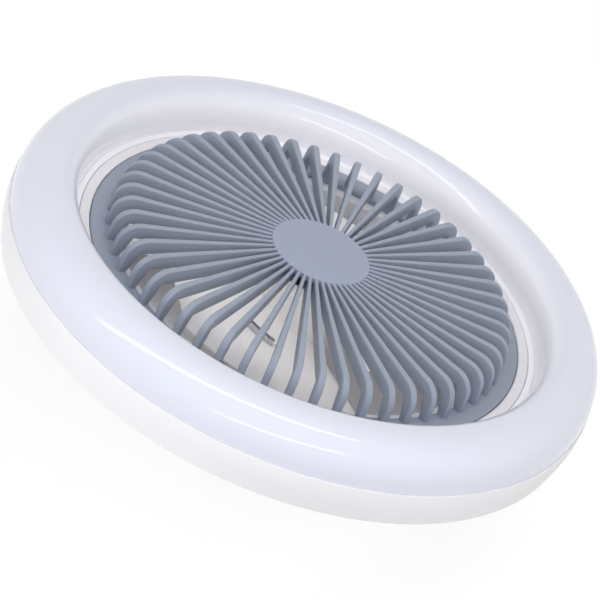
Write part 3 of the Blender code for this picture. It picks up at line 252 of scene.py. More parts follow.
nearlyStraight = 0.48 * math.pi  # half the angle at a corner that isn't worth rounding
edgeUse = 0.47  # the share of an edge that one rounding may take


# Corners are (radius, level), or (radius, level, rounding) where one becomes a short arc.
def softCorners(corners, facets=4):
    outline = []
    for index, (radius, level, *rounding) in enumerate(corners):
        corner = Vector((radius, level))
        before = Vector(corners[index - 1][:2]) - corner
        after = Vector(corners[(index + 1) % len(corners)][:2]) - corner
        half = before.angle(after) / 2
        if not rounding or half > nearlyStraight:
            outline.append((radius, level))
            continue
        setback = min(rounding[0] / math.tan(half), edgeUse * before.length, edgeUse * after.length)
        bend = setback * math.tan(half)
        towards = (before.normalized() + after.normalized()).normalized()
        centre = corner + towards * bend / math.sin(half)
        start = corner + before.normalized() * setback - centre
        end = corner + after.normalized() * setback - centre
        sweep = start.angle(end)
        for step in range(facets + 1):
            share = step / facets
            arm = start * math.sin((1 - share) * sweep) + end * math.sin(share * sweep)
            outline.append(tuple(centre + arm / math.sin(sweep)))
    return outline


def faced(corners):  # corners whose heights are in front of the joint plane
    return [(radius, facing(height), *rounding) for radius, height, *rounding in corners]


def layer(sizes, name):  # the heights of a flat part's front and back
    front = -sizes[name + "Depth"]
    return front, front - sizes[name + "Thickness"]


def around(radius, turn, level):
    return (radius * math.cos(turn), radius * math.sin(turn), level)


def evenTurns(steps):
    return [fullTurn * step / steps for step in range(steps)]


def evenSpread(half, steps):
    return [half * (2 * step / steps - 1) for step in range(steps + 1)]


def block(wide, high):  # the corners of a flat rectangle about its middle
    return [(-wide, -high), (wide, -high), (wide, high), (-wide, high)]


def bridgeRings(shape, first, second):
    count = max(len(first), len(second))
    if count == 1:  # both lie on the axis
        return
    for index in range(count):
        after = (index + 1) % count
        upper = [first[index], first[after]] if len(first) > 1 else first
        lower = [second[after], second[index]] if len(second) > 1 else second
        shape.faces.new(upper + lower)


def joinRings(shape, rings, closed):
    for first, second in zip(rings, rings[1:] + (rings[:1] if closed else [])):
        bridgeRings(shape, first, second)
    if not closed:
        shape.faces.new(reversed(rings[0]))
        shape.faces.new(rings[-1])
    bmesh.ops.recalc_face_normals(shape, faces=shape.faces)
    return shape


def turnedShape(outline, steps):
    shape = bmesh.new()
    rings = []
    for radius, level in outline:
        if radius > onAxis:
            rings.append([shape.verts.new(around(radius, turn, level)) for turn in evenTurns(steps)])
        else:
            rings.append([shape.verts.new((0, 0, level))])
    return joinRings(shape, rings, True)


def newObject(name, data):
    made = bpy.data.objects.new(name, data)
    bpy.context.scene.collection.objects.link(made)
    return made


def asObject(name, shape):
    mesh = bpy.data.meshes.new(name)
    shape.to_mesh(mesh)
    shape.free()
    return newObject(name, mesh)


def turned(name, corners, steps, facets=4):
    return asObject(name, turnedShape(softCorners(corners, facets), steps))


def lofted(name, loops):
    shape = bmesh.new()
    rings = [[shape.verts.new(point) for point in loop] for loop in loops]
    return asObject(name, joinRings(shape, rings, False))


def slab(name, outline, low, high):
    return lofted(name, [[(x, y, level) for x, y in outline] for level in (low, high)])


def studAt(out, corners, steps=24):  # a small turned shape beside the axis, to be spread round it
    stud = turnedShape(softCorners(corners), steps)
    bmesh.ops.translate(stud, verts=stud.verts, vec=(out, 0, 0))
    return asObject("stud", stud)


def rodAt(out, radius, low, high, steps=24):
    return studAt(out, [(0, low), (radius, low), (radius, high), (0, high)], steps)


def settle(made):  # the evaluated shape becomes the piece's own plain mesh
    graph = bpy.context.evaluated_depsgraph_get()
    mesh = bpy.data.meshes.new_from_object(made.evaluated_get(graph))
    mesh.name = made.name
    made.modifiers.clear()
    made.data = mesh
    return made


def carve(target, cutters, operation="DIFFERENCE"):
    for cutter in cutters:
        step = target.modifiers.new("carve", "BOOLEAN")
        step.operation = operation
        step.solver = "EXACT"
        step.object = cutter
    settle(target)
    for cutter in cutters:
        bpy.data.objects.remove(cutter)


def roundEdges(made, width, segments=2, limit=math.radians(40)):
    step = made.modifiers.new("edges", "BEVEL")
    step.width = width
    step.segments = segments
    step.limit_method = "ANGLE"
    step.angle_limit = limit
    return settle(made)


def mergeInto(target, others):
    shape = bmesh.new()
    shape.from_mesh(target.data)
    for other in others:
        shape.from_mesh(other.data)
        bpy.data.objects.remove(other)
    shape.to_mesh(target.data)
    shape.free()
    return target


def finishPiece(made, body, finish, nodes, crease=38):
    made.data.materials.clear()
    made.data.materials.append(looks[finish])
    for face in made.data.polygons:
        face.material_index = 0
    made.data.shade_smooth()
    made.data.set_sharp_from_angle(angle=math.radians(crease))
    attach(made, body)
    if nodes:
        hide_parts(*nodes)
    print(made.name, "made,", len(made.data.polygons), "faces")


# Repeats

wireSides = 6
wireCornerSteps = 3


def newTree(name, inputs):
    tree = bpy.data.node_groups.new(name, "GeometryNodeTree")
    for title, kind in {"Geometry": "Geometry", **inputs, "Finish": "Material"}.items():
        tree.interface.new_socket(title, in_out="INPUT", socket_type=f"NodeSocket{kind}")
    tree.interface.new_socket("Geometry", in_out="OUTPUT", socket_type="NodeSocketGeometry")
    return tree, tree.nodes.new("NodeGroupInput").outputs


def endTree(tree, given, copies):
    real = addNode(tree, "GeometryNodeRealizeInstances", {0: copies})
    paint = addNode(tree, "GeometryNodeSetMaterial", {"Geometry": real, "Material": given["Finish"]})
    addNode(tree, "NodeGroupOutput", {0: paint})
    return tree


def spreadTree():  # copies of one shape, turned evenly about the axis
    tree, given = newTree("spreadRound", {"Count": "Int", "First Turn": "Float"})
    points = addNode(tree, "GeometryNodePoints", {"Count": given["Count"]})
    index = addNode(tree, "GeometryNodeInputIndex")
    turn = addMath(tree, "MULTIPLY", index, addMath(tree, "DIVIDE", fullTurn, given["Count"]))
    spin = addNode(tree, "ShaderNodeCombineXYZ", {"Z": addMath(tree, "ADD", turn, given["First Turn"])})
    copies = addNode(tree, "GeometryNodeInstanceOnPoints", {
        "Points": points, "Instance": given["Geometry"], "Rotation": spin,
    })
    return endTree(tree, given, copies)


def windingTree():  # one layer of wire laid round a tooth, loop beside loop along the radius
    names = ("Wire Radius", "First Radius", "Last Radius", "Width", "Length", "Corner", "Level")
    tree, given = newTree("windRound", {"Turns": "Int", **{name: "Float" for name in names}})
    frameCurve = addNode(tree, "GeometryNodeCurvePrimitiveQuadrilateral", {
        "Width": given["Length"], "Height": given["Width"],
    }, mode="RECTANGLE")
    corner = addNode(tree, "GeometryNodeFilletCurve", {
        "Curve": frameCurve, "Radius": given["Corner"], "Count": wireCornerSteps,
    }, mode="POLY")
    wire = addNode(tree, "GeometryNodeCurvePrimitiveCircle", {
        "Radius": given["Wire Radius"], "Resolution": wireSides,
    })
    sweep = addNode(tree, "GeometryNodeCurveToMesh", {"Curve": corner, "Profile Curve": wire})
    loop = addNode(tree, "GeometryNodeTransform", {"Geometry": sweep, "Rotation": (0, quarterTurn, 0)})
    first, last = (
        addNode(tree, "ShaderNodeCombineXYZ", {"X": given[name], "Z": given["Level"]})
        for name in ("First Radius", "Last Radius")
    )
    row = addNode(tree, "GeometryNodeMeshLine", {
        "Count": given["Turns"], "Start Location": first, "Offset": last,
    }, mode="END_POINTS")
    copies = addNode(tree, "GeometryNodeInstanceOnPoints", {"Points": row, "Instance": loop})
    return endTree(tree, given, copies)


trees = {"spread": spreadTree(), "winding": windingTree()}


def applyTree(made, tree, values):
    step = made.modifiers.new(tree.name, "NODES")
    step.node_group = tree
    for socket in tree.interface.items_tree:
        if socket.in_out == "INPUT" and socket.name in values:
            step[socket.identifier] = values[socket.name]
    return settle(made)


def spreadRound(made, count, firstTurn, finish):
    values = {"Count": count, "First Turn": firstTurn, "Finish": looks[finish]}
    return applyTree(made, trees["spread"], values)


# Diffuser

diffuserRing = dict(
    outerRadius=0.13, crestRadius=0.1131, innerRadius=0.1033, height=0.0163,
    wall=0.0018, rimDepth=0.004, lipRadius=0.1006, lipDepth=0.002, lipThickness=0.0014,
    steps=240, crownSteps=22, insideSteps=11,
)


def makeDiffuser(sizes):
    crest, wall, height = sizes["crestRadius"], sizes["wall"], sizes["height"]
    outer, inner, lipRadius = sizes["outerRadius"], sizes["innerRadius"], sizes["lipRadius"]
    rim, (lip, lipBack) = facing(-sizes["rimDepth"]), map(facing, layer(sizes, "lip"))

    def arch(reach, rise, count):
        turns = [quarterTurn * step / count for step in range(count + 1)]
        return [(crest + reach * math.cos(turn), facing(rise * math.sin(turn))) for turn in turns]

    def crown(left, right, rise, count):
        return arch(left, rise, count) + arch(right, rise, count)[-2::-1]

    corners = [(outer, rim, hair)] + crown(outer - crest, inner - crest, height, sizes["crownSteps"])
    corners += [(inner, lip, broad), (lipRadius, lip, small)]
    corners += [(lipRadius, lipBack, fine), (inner + wall, lipBack)]
    corners += crown(inner - crest + wall, outer - crest - wall, height - wall, sizes["insideSteps"])
    made = turned("diffuser_ring", corners + [(outer - wall, rim, slight)], sizes["steps"])
    finishPiece(made, "housing", "milky plastic", ["diffuser"])


makeDiffuser(diffuserRing)

# Grille

grilleSizes = dict(
    hubRadius=0.0216, hubHeight=0.0153, hubThickness=0.003, hubSteps=104,
    gateRadius=0.0011, gateDepth=0.00016, gateShares=(0.45, 0.6, 0.85, 1.15),
    ribCount=52, ribStart=0.019, topInner=0.0151, topOuter=0.0139, ribDepth=0.0065,
    cornerRadius=0.009, cornerSteps=8, footRadius=0.0892, innerCorner=0.0823,
    missesAxisBy=0.0032, thicknessAtHub=0.0014, thicknessAtFoot=0.0031, overlap=0.0003,
    firstTurn=math.radians(-10.19), edge=0.00068, edgeSegments=4, edgeLimit=math.radians(50),
    flangeInner=0.0853, flangeOuter=0.0955, flangeDepth=0.0021, flangeThickness=0.002,
    flangeSteps=208, hookCount=4, hookTurn=math.radians(20), hookWidth=0.006,
    hookRadius=0.0868, hookThickness=0.0018, hookLength=0.0042, barb=0.0012, barbHeight=0.0014,
)


def ribSideView(sizes):
    corner, overlap, steps = sizes["cornerRadius"], sizes["overlap"], sizes["cornerSteps"]
    centre = sizes["footRadius"] - corner - overlap
    outline = [(sizes["ribStart"], sizes["topInner"])]
    for step in range(steps + 1):
        turn = quarterTurn * step / steps
        drop = corner * (1 - math.cos(turn))
        outline.append((centre + corner * math.sin(turn), sizes["topOuter"] - drop))
    foot = -sizes["flangeDepth"] - 2 * overlap
    return outline + [
        (sizes["footRadius"], foot), (sizes["flangeInner"] + overlap, foot),
        (sizes["innerCorner"], sizes["topOuter"] - sizes["ribDepth"]),
        (sizes["ribStart"], sizes["topInner"] - sizes["ribDepth"]),
    ]


def makeRibs(sizes):
    miss = sizes["missesAxisBy"]
    start, foot = (math.sqrt(sizes[name] ** 2 - miss ** 2) for name in ("ribStart", "footRadius"))
    loops = []
    for side in (-1, 1):
        loop = []
        for radius, height in ribSideView(sizes):
            along = math.sqrt(radius ** 2 - miss ** 2)
            share = (along - start) / (foot - start)
            grow = sizes["thicknessAtFoot"] - sizes["thicknessAtHub"]
            half = (sizes["thicknessAtHub"] + grow * share) / 2
            loop.append((along, miss + side * half, facing(height)))
        loops.append(loop)
    rib = roundEdges(lofted("ribs", loops), sizes["edge"], sizes["edgeSegments"], sizes["edgeLimit"])
    return spreadRound(rib, sizes["ribCount"], sizes["firstTurn"], "blue grey plastic")


def makeHooks(sizes):
    back = layer(sizes, "flange")[1]
    top, tip = facing(back + 2 * sizes["overlap"]), facing(back - sizes["hookLength"])
    inner, outer = sizes["hookRadius"], sizes["hookRadius"] + sizes["hookThickness"]
    under = tip - sizes["barbHeight"]
    outline = [(inner, top), (outer, top), (outer, under), (outer + sizes["barb"], under)]
    outline += [(outer, tip), (inner, tip)]
    half = sizes["hookWidth"] / 2
    hook = lofted("hooks", [[(x, side * half, z) for x, z in outline] for side in (-1, 1)])
    return spreadRound(hook, sizes["hookCount"], sizes["hookTurn"], "blue grey plastic")


def makeGrille(sizes):
    top, back = facing(sizes["hubHeight"]), facing(sizes["hubHeight"] - sizes["hubThickness"])
    dent, hub = top + sizes["gateDepth"], sizes["hubRadius"]
    pool, ridge, groove, brim = (sizes["gateRadius"] * share for share in sizes["gateShares"])
    made = turned("grille_moulding", [
        (0, dent), (pool, dent), (ridge, top), (groove, dent, hair), (brim, top, fine),
        (hub, top, soft), (hub, back, slight), (0, back),
    ], sizes["hubSteps"])
    front, rear = map(facing, layer(sizes, "flange"))
    inner, outer = sizes["flangeInner"], sizes["flangeOuter"]
    ring = turned("flange", [
        (inner, front, slight), (outer, front, small), (outer, rear, fine), (inner, rear, slight),
    ], sizes["flangeSteps"])
    mergeInto(made, [ring, makeRibs(sizes), makeHooks(sizes)])
    finishPiece(made, "housing", "blue grey plastic", ["grille"])


makeGrille(grilleSizes)

# Front housing

frontHousing = dict(
    radius=0.1306, rimDepth=0.00403, footRadius=0.1278, depth=0.0215, wall=0.0022,
    rimRounding=0.00025, shoulderRounding=0.03, shoulderShare=0.4, shoulderInset=0.0002,
    wallTaper=0.0003, floorDepth=0.014, floorThickness=0.002,
    bandOuter=0.1003, bandInner=0.0959, bandDepth=0.002, innerWall=0.002,
    shelfRadius=0.1029, shelfDepth=0.0037, shelfThickness=0.0018,
    ledgeDepth=0.0044, ledgeThickness=0.002,
    throatRadius=0.0805, throatWall=0.002, throatDepth=0.02, steps=240,
    postCircle=0.112, postRadius=0.004, postBack=0.022, screwHole=0.0018,
    firstPost=math.radians(45), posts=4,
)


def makeFrontHousing(sizes):
    rim, depth, wall = -sizes["rimDepth"], sizes["depth"], sizes["wall"]
    shoulder = rim - (depth + rim) * sizes["shoulderShare"]
    (floor, floorBack), (ledge, ledgeBack) = layer(sizes, "floor"), layer(sizes, "ledge")
    (shelf, shelfBack), reach = layer(sizes, "shelf"), sizes["shelfRadius"]
    radius, foot, inset = sizes["radius"], sizes["footRadius"], sizes["shoulderInset"]
    band, bandInner, bandTop = sizes["bandOuter"], sizes["bandInner"], -sizes["bandDepth"]
    throat, outside = sizes["throatRadius"], sizes["throatRadius"] + sizes["throatWall"]
    throatBack, well = -sizes["throatDepth"], band - sizes["innerWall"]
    made = turned("front_housing_moulding", faced([
        (radius, rim, sizes["rimRounding"]), (radius - inset, shoulder, sizes["shoulderRounding"]),
        (foot, -depth, broad), (foot - wall, -depth, slight),
        (radius - inset - wall - sizes["wallTaper"], floorBack, soft),
        (well, floorBack), (well, ledgeBack, broad), (outside, ledgeBack, broad),
        (outside, throatBack, soft), (throat, throatBack, soft), (throat, ledge, full),
        (bandInner, ledge, fine), (bandInner, bandTop, soft), (band, bandTop, soft), (band, shelf, hair),
        (reach, shelf, fine), (reach, shelfBack, fine), (band, shelfBack, slight), (band, floor, soft),
        (radius - inset - wall, floor, full), (radius - wall, rim, slight),
    ]), sizes["steps"])
    out, back = sizes["postCircle"], -sizes["postBack"]
    spread = sizes["posts"], sizes["firstPost"], "white plastic"
    post = rodAt(out, sizes["postRadius"], facing(back), facing(floorBack + past))
    carve(made, [spreadRound(post, *spread)], "UNION")
    hole = rodAt(out, sizes["screwHole"], facing(back - past), facing(floorBack))
    carve(made, [spreadRound(hole, *spread)])
    finishPiece(made, "housing", "white plastic", ["front_housing"])


makeFrontHousing(frontHousing)

# Rear housing

rearHousing = dict(
    footRadius=0.031, domeRadius=0.1275, rimDepth=0.0218, rise=0.0214, wall=0.0022,
    spigotOuter=0.1252, spigotWall=0.0018, spigotHeight=0.0028, wireHole=0.0085,
    slots=32, slotWidth=0.0052, slotInner=0.084, slotOuter=0.102, slotEndSteps=8,
    screws=4, screwCircle=0.112, firstScrew=math.radians(45), bossRadius=0.005,
    padRise=0.0004, bossHeight=0.0085, bossSteps=32, headHole=0.0032, headDepth=0.0036,
    screwHole=0.0018, holeSteps=20, holeReach=0.004, steps=240, domeSteps=26, crease=30,
)


def domeHeight(sizes, radius, wall=0):
    share = (radius - sizes["footRadius"]) / (sizes["domeRadius"] - sizes["footRadius"] - wall)
    return -sizes["rimDepth"] - (sizes["rise"] - wall) * (1 - share ** 2)


def domeFace(sizes, last, wall):
    first, steps = sizes["footRadius"], sizes["domeSteps"]
    radii = [first + (last - first) * step / steps for step in range(steps + 1)]
    return [(radius, facing(domeHeight(sizes, radius, wall))) for radius in radii]


def makeRearHousing(sizes):
    rim, floorBack, wall = -sizes["rimDepth"], -sizes["rimDepth"] - sizes["rise"], sizes["wall"]
    outer, hole, out = sizes["spigotOuter"], sizes["wireHole"], sizes["screwCircle"]
    inner, spigotTop = outer - sizes["spigotWall"], facing(rim + sizes["spigotHeight"])
    outside = domeFace(sizes, sizes["domeRadius"], 0)
    outside[-1] += (slight,)
    corners = [(hole, facing(floorBack), soft)] + outside
    corners += [(outer, facing(rim), hair), (outer, spigotTop, small), (inner, spigotTop, small)]
    corners += domeFace(sizes, inner, wall)[::-1] + [(hole, facing(floorBack + wall), soft)]
    made = turned("rear_cover_moulding", corners, sizes["steps"])
    spread, steps = (sizes["screws"], sizes["firstScrew"], "white plastic"), sizes["bossSteps"]
    pad = domeHeight(sizes, out - sizes["bossRadius"]) - sizes["padRise"]
    top, low, radius = facing(pad + sizes["bossHeight"]), facing(pad), sizes["bossRadius"]
    boss = studAt(out, [(0, top), (radius, top), (radius, low, soft), (0, low)], steps)
    carve(made, [spreadRound(boss, *spread)], "UNION")
    seat, start = facing(pad + sizes["headDepth"]), facing(rim + sizes["holeReach"])
    hole = rodAt(out, sizes["headHole"], seat, facing(pad - 2 * past), steps)
    carve(made, [spreadRound(hole, *spread)])
    hole = rodAt(out, sizes["screwHole"], start, seat + past, sizes["holeSteps"])
    carve(made, [spreadRound(hole, *spread)])
    half, count, ends, outline = sizes["slotWidth"] / 2, sizes["slots"], sizes["slotEndSteps"], []
    first, last = sizes["slotInner"] + half, sizes["slotOuter"] - half
    for centre, start in ((last, -quarterTurn), (first, quarterTurn)):
        turns = [start + math.pi * step / ends for step in range(ends + 1)]
        outline += [(centre + half * math.cos(turn), half * math.sin(turn)) for turn in turns]
    slot = slab("slot", outline, spigotTop - past, facing(floorBack - past))
    carve(made, [spreadRound(slot, count, fullTurn / count / 2, "white plastic")])
    finishPiece(made, "housing", "white plastic", ["rear_housing"], sizes["crease"])


makeRearHousing(rearHousing)

# Neck and screw cap

neckSizes = dict(
    plugHeight=0.008, plugOuter=0.011, plugBore=0.0075, seatRadius=0.0135, seatDepth=0.0004,
    shoulder=0.019, chamfer=0.002, chamferRounding=0.0012, waist=0.024, waistDepth=0.01204,
    waistRounding=0.012, waistInside=0.01, foot=0.031, length=0.028, wall=0.002,
    steps=160, facets=6,
)


def makeNeck(sizes):
    wall, shoulder, chamfer = sizes["wall"], sizes["shoulder"], sizes["chamfer"]
    plug, bore, top = sizes["plugOuter"], sizes["plugBore"], sizes["plugHeight"]
    seat, low, collar = sizes["seatRadius"], -sizes["seatDepth"], shoulder + chamfer
    waist, waistLevel, foot, end = sizes["waist"], -sizes["waistDepth"], sizes["foot"], -sizes["length"]
    made = turned("neck_moulding", [
        (bore, top, small), (plug, top, small), (plug, low), (seat, low), (seat, 0, hair),
        (shoulder, 0, full), (collar, -chamfer, sizes["chamferRounding"]),
        (waist, waistLevel, sizes["waistRounding"]), (foot, end, small), (foot - wall, end, small),
        (waist - wall, waistLevel, sizes["waistInside"]), (collar - wall, -chamfer - wall, full),
        (bore, -wall, small),
    ], sizes["steps"], sizes["facets"])
    finishPiece(made, "housing", "white plastic", ["neck_housing"])


makeNeck(neckSizes)

capSizes = dict(
    thread=0.0131, root=0.0121, pitchShare=0.806, turns=5, rows=20, steps=96, crease=60,
    bore=0.0113, height=0.0225, foot=-0.0001, lip=0.0096, lipRise=0.0011, lipWall=0.0006,
)


def makeCapShell(sizes):
    perTurn, turnCount, height, wall = sizes["rows"], sizes["turns"], sizes["height"], sizes["lipWall"]
    middle, swing = (sizes["thread"] + sizes["root"]) / 2, (sizes["thread"] - sizes["root"]) / 2
    pitch, rows = height * sizes["pitchShare"] / turnCount, turnCount * perTurn
    start = (height - pitch * turnCount) / 2
    lip, lipTop, bore, foot = sizes["lip"], height + sizes["lipRise"], sizes["bore"], sizes["foot"]
    shape = bmesh.new()

    def ring(radius, level, swings=0, phase=0):
        return [
            shape.verts.new(around(radius + swings * math.cos(phase - turn), turn, level))
            for turn in evenTurns(sizes["steps"])
        ]

    rings = [ring(middle, foot)]
    for row in range(rows + 1):  # the thread fades in and out over one turn at each end
        fade = min(1, row / perTurn, (rows - row) / perTurn)
        rings.append(ring(middle, start + pitch * row / perTurn, swing * fade, fullTurn * row / perTurn))
    rolled = softCorners([
        (middle, start + pitch * turnCount), (sizes["root"], height, full), (lip, lipTop, small),
        (lip - wall, lipTop - wall, fine), (bore, height - wall, small), (bore, foot),
    ])
    rings += [ring(radius, level) for radius, level in rolled[1:]]
    made = asObject("cap_shell", joinRings(shape, rings, True))
    finishPiece(made, "housing", "nickel plating", ["screw_shell"], sizes["crease"])


makeCapShell(capSizes)

capEndSizes = dict(
    seat=0.0239, plug=0.0087, plugLength=0.0036, outer=0.0096, contact=0.0049, rise=0.0015,
    slope=0.0018, slopeShare=0.55, slopeRounding=0.001, gap=0.0003, steps=96,
    bore=0.002, stem=0.0016, stemLength=0.0028, rim=0.0006, tip=0.0013, tipRadius=0.0036,
    buttonSteps=72,
)


def makeCapEnd(sizes):
    seat, top, gap = sizes["seat"], sizes["seat"] + sizes["rise"], sizes["gap"]
    bore, plug, plugEnd = sizes["bore"], sizes["plug"], sizes["seat"] - sizes["plugLength"]
    contact, stem, base = sizes["contact"], sizes["stem"], top + gap
    made = turned("cap_insulator_ring", [
        (bore, plugEnd), (plug, plugEnd, slight), (plug, seat), (sizes["outer"], seat, fine),
        (contact + sizes["slope"], seat + sizes["rise"] * sizes["slopeShare"], sizes["slopeRounding"]),
        (contact + gap, top, slight), (bore, top),
    ], sizes["steps"])
    finishPiece(made, "housing", "black insulator", ["cap_insulator"])
    stemEnd, tip = base - sizes["stemLength"], base + sizes["tip"]
    made = turned("centre_contact_button", [
        (0, stemEnd), (stem, stemEnd, slight), (stem, base, fine), (contact, base, fine),
        (contact, base + sizes["rim"], small), (sizes["tipRadius"], tip, broad), (0, tip),
    ], sizes["buttonSteps"])
    finishPiece(made, "housing", "tinned contact", ["centre_contact"])


makeCapEnd(capEndSizes)

# Fan

fanSizes = dict(
    radius=0.0785, hubInner=0.0218, hubOuter=0.0245, hubRounding=0.0012, webFront=0.0053,
    hubBack=-0.0182, webInner=0.0166, webThickness=0.0015, steps=144,
    blades=3, bladeRoot=0.0233, turn=math.radians(-59), tipWidth=math.radians(69),
    sweep=math.radians(47), sweepShare=0.39, frontDepth=0.002, drop=0.015, crown=0.0022,
    rootThickness=0.0024, tipThickness=0.0014, edgeShare=0.35, rows=34, columns=30,
    railShare=0.37, railThickness=0.0012, railTurn=math.radians(-79), railSteps=18,
    railHalf=math.radians(12), railRise=0.0026,
    screwCircle=0.0184, screwHole=0.00105, firstScrew=math.radians(60), holeLength=0.004,
)


def bladeDepth(sizes, across):
    return sizes["frontDepth"] + sizes["drop"] * across - sizes["crown"] * math.sin(math.pi * across)


def bladePoint(sizes, across, share, side):
    radius = sizes["bladeRoot"] + (sizes["radius"] - sizes["bladeRoot"]) * share
    sweep = sizes["sweep"] * min(1, (1 - share) / sizes["sweepShare"]) ** 2
    turn = sizes["turn"] + sweep - (sizes["tipWidth"] + sweep) * across
    thickness = sizes["rootThickness"] + (sizes["tipThickness"] - sizes["rootThickness"]) * share
    taper = sizes["edgeShare"] + (1 - sizes["edgeShare"]) * math.sin(math.pi * across) ** 0.5
    return around(radius, turn, facing(side * thickness / 2 * taper - bladeDepth(sizes, across)))


def makeBlade(sizes):
    rows, columns = sizes["rows"], sizes["columns"]
    shape = bmesh.new()

    def point(row, column, side):
        return shape.verts.new(bladePoint(sizes, row / rows, column / columns, side))

    grids = []
    for side in (1, -1):
        grid = [[point(row, column, side) for column in range(columns + 1)] for row in range(rows + 1)]
        for first, second in zip(grid, grid[1:]):
            for column in range(columns):
                shape.faces.new((first[column], first[column + 1], second[column + 1], second[column]))
        grids.append(grid)
    front, back = grids
    rim = [(0, column) for column in range(columns)] + [(row, columns) for row in range(rows)]
    rim += [(rows, column) for column in range(columns, 0, -1)] + [(row, 0) for row in range(rows, 0, -1)]
    for (row, column), (nextRow, nextColumn) in zip(rim, rim[1:] + rim[:1]):
        shape.faces.new((
            front[row][column], front[nextRow][nextColumn], back[nextRow][nextColumn], back[row][column],
        ))
    bmesh.ops.recalc_face_normals(shape, faces=shape.faces)
    return asObject("blade", shape)


def railStations(sizes, half, steps):
    stations = []
    for offset in evenSpread(half, steps):
        turn = sizes["railTurn"] + offset
        across = (sizes["turn"] + sizes["sweep"] - turn) / (sizes["tipWidth"] + sizes["sweep"])
        stations.append((turn, facing(sizes["railRise"] - bladeDepth(sizes, across))))
    return stations


def railRadius(sizes):
    return sizes["bladeRoot"] + (sizes["radius"] - sizes["bladeRoot"]) * sizes["railShare"]


def makeRail(sizes):
    half, rise, radius = sizes["railThickness"] / 2, sizes["railRise"], railRadius(sizes)
    ends = ((-half, 0), (half, 0), (half, rise), (-half, rise))
    return lofted("rail", [
        [around(radius + out, turn, front + down) for out, down in ends]
        for turn, front in railStations(sizes, sizes["railHalf"], sizes["railSteps"])
    ])


def makeFan(sizes):
    web, webInner, back = sizes["webFront"], sizes["webInner"], sizes["hubBack"]
    inner, outer, webBack = sizes["hubInner"], sizes["hubOuter"], web - sizes["webThickness"]
    made = turned("fan_impeller", faced([
        (webInner, web, small), (outer, web, sizes["hubRounding"]), (outer, back, small),
        (inner, back, small), (inner, webBack, small), (webInner, webBack, fine),
    ]), sizes["steps"])
    blades = spreadRound(makeBlade(sizes), sizes["blades"], 0, "pale plastic")
    rails = spreadRound(roundEdges(makeRail(sizes), fine), sizes["blades"], 0, "pale plastic")
    front = facing(web + past)
    hole = rodAt(sizes["screwCircle"], sizes["screwHole"], front, front + sizes["holeLength"])
    carve(made, [spreadRound(hole, sizes["blades"], sizes["firstScrew"], "pale plastic")])
    finishPiece(mergeInto(made, [blades, rails]), "rotor", "pale plastic", ["impeller"])


makeFan(fanSizes)

clipSizes = dict(half=math.radians(8.5), height=0.0014, wall=0.0005, gap=0.0003, steps=14)


def makeClip(sizes, fan):
    gap, wall, height = sizes["gap"], sizes["wall"], sizes["height"]
    inner, outer = (railRadius(fan) + side * (fan["railThickness"] / 2 + gap) for side in (-1, 1))
    outline = softCorners([
        (inner, -gap, fine), (inner, height), (inner - wall, height, hair),
        (inner - wall, -gap - wall, soft), (outer + wall, -gap - wall, soft),
        (outer + wall, height, hair), (outer, height), (outer, -gap, fine),
    ])
    made = lofted("balance_clip_channel", [
        [around(radius, turn, front + lift) for radius, lift in outline]
        for turn, front in railStations(fan, sizes["half"], sizes["steps"])
    ])
    finishPiece(made, "rotor", "bright steel", ["balance_clip"])


makeClip(clipSizes, fanSizes)

bellSizes = dict(
    radius=0.0214, front=0.0035, wall=0.0015, length=0.017, hole=0.0016, rounding=0.0017,
    steps=144, facets=6, windows=6, windowInner=0.0078, windowOuter=0.0158,
    windowHalf=math.radians(20), windowSteps=10,
    screws=3, screwCircle=0.0184, screwHole=0.00105, firstScrew=math.radians(60),
)


def makeBell(sizes):
    radius, wall, hole, front = sizes["radius"], sizes["wall"], sizes["hole"], sizes["front"]
    inside, back, end = radius - wall, front - wall, front - sizes["length"]
    made = turned("motor_bell", faced([
        (hole, front, fine), (radius, front, sizes["rounding"]), (radius, end, slight), (inside, end, slight),
        (inside, back, broad), (hole, back, fine),
    ]), sizes["steps"], sizes["facets"])
    turns = evenSpread(sizes["windowHalf"], sizes["windowSteps"])
    low, high = facing(front + past), facing(back - past)
    flat = [(sizes["windowOuter"], turn) for turn in turns]
    flat += [(sizes["windowInner"], turn) for turn in turns[::-1]]
    window = lofted("window", [[around(*point, level) for point in flat] for level in (low, high)])
    carve(made, [spreadRound(window, sizes["windows"], 0, "bell steel")])
    hole = rodAt(sizes["screwCircle"], sizes["screwHole"], low, high)
    carve(made, [spreadRound(hole, sizes["screws"], sizes["firstScrew"], "bell steel")])
    finishPiece(made, "rotor", "bell steel", ["rotor_bell"])


makeBell(bellSizes)

windingSizes = dict(
    coils=6, turns=14, wire=0.00018, inner=0.0087, outer=0.01388, halfWidth=0.0045,
    front=0.0, back=-0.014, corner=0.0011, cornerSteps=3, coreReach=(0.0088, 0.0138),
    holeHalf=0.0027, holeFront=-0.0017, holeBack=-0.0123, holeReach=(0.008, 0.015), crease=50,
)


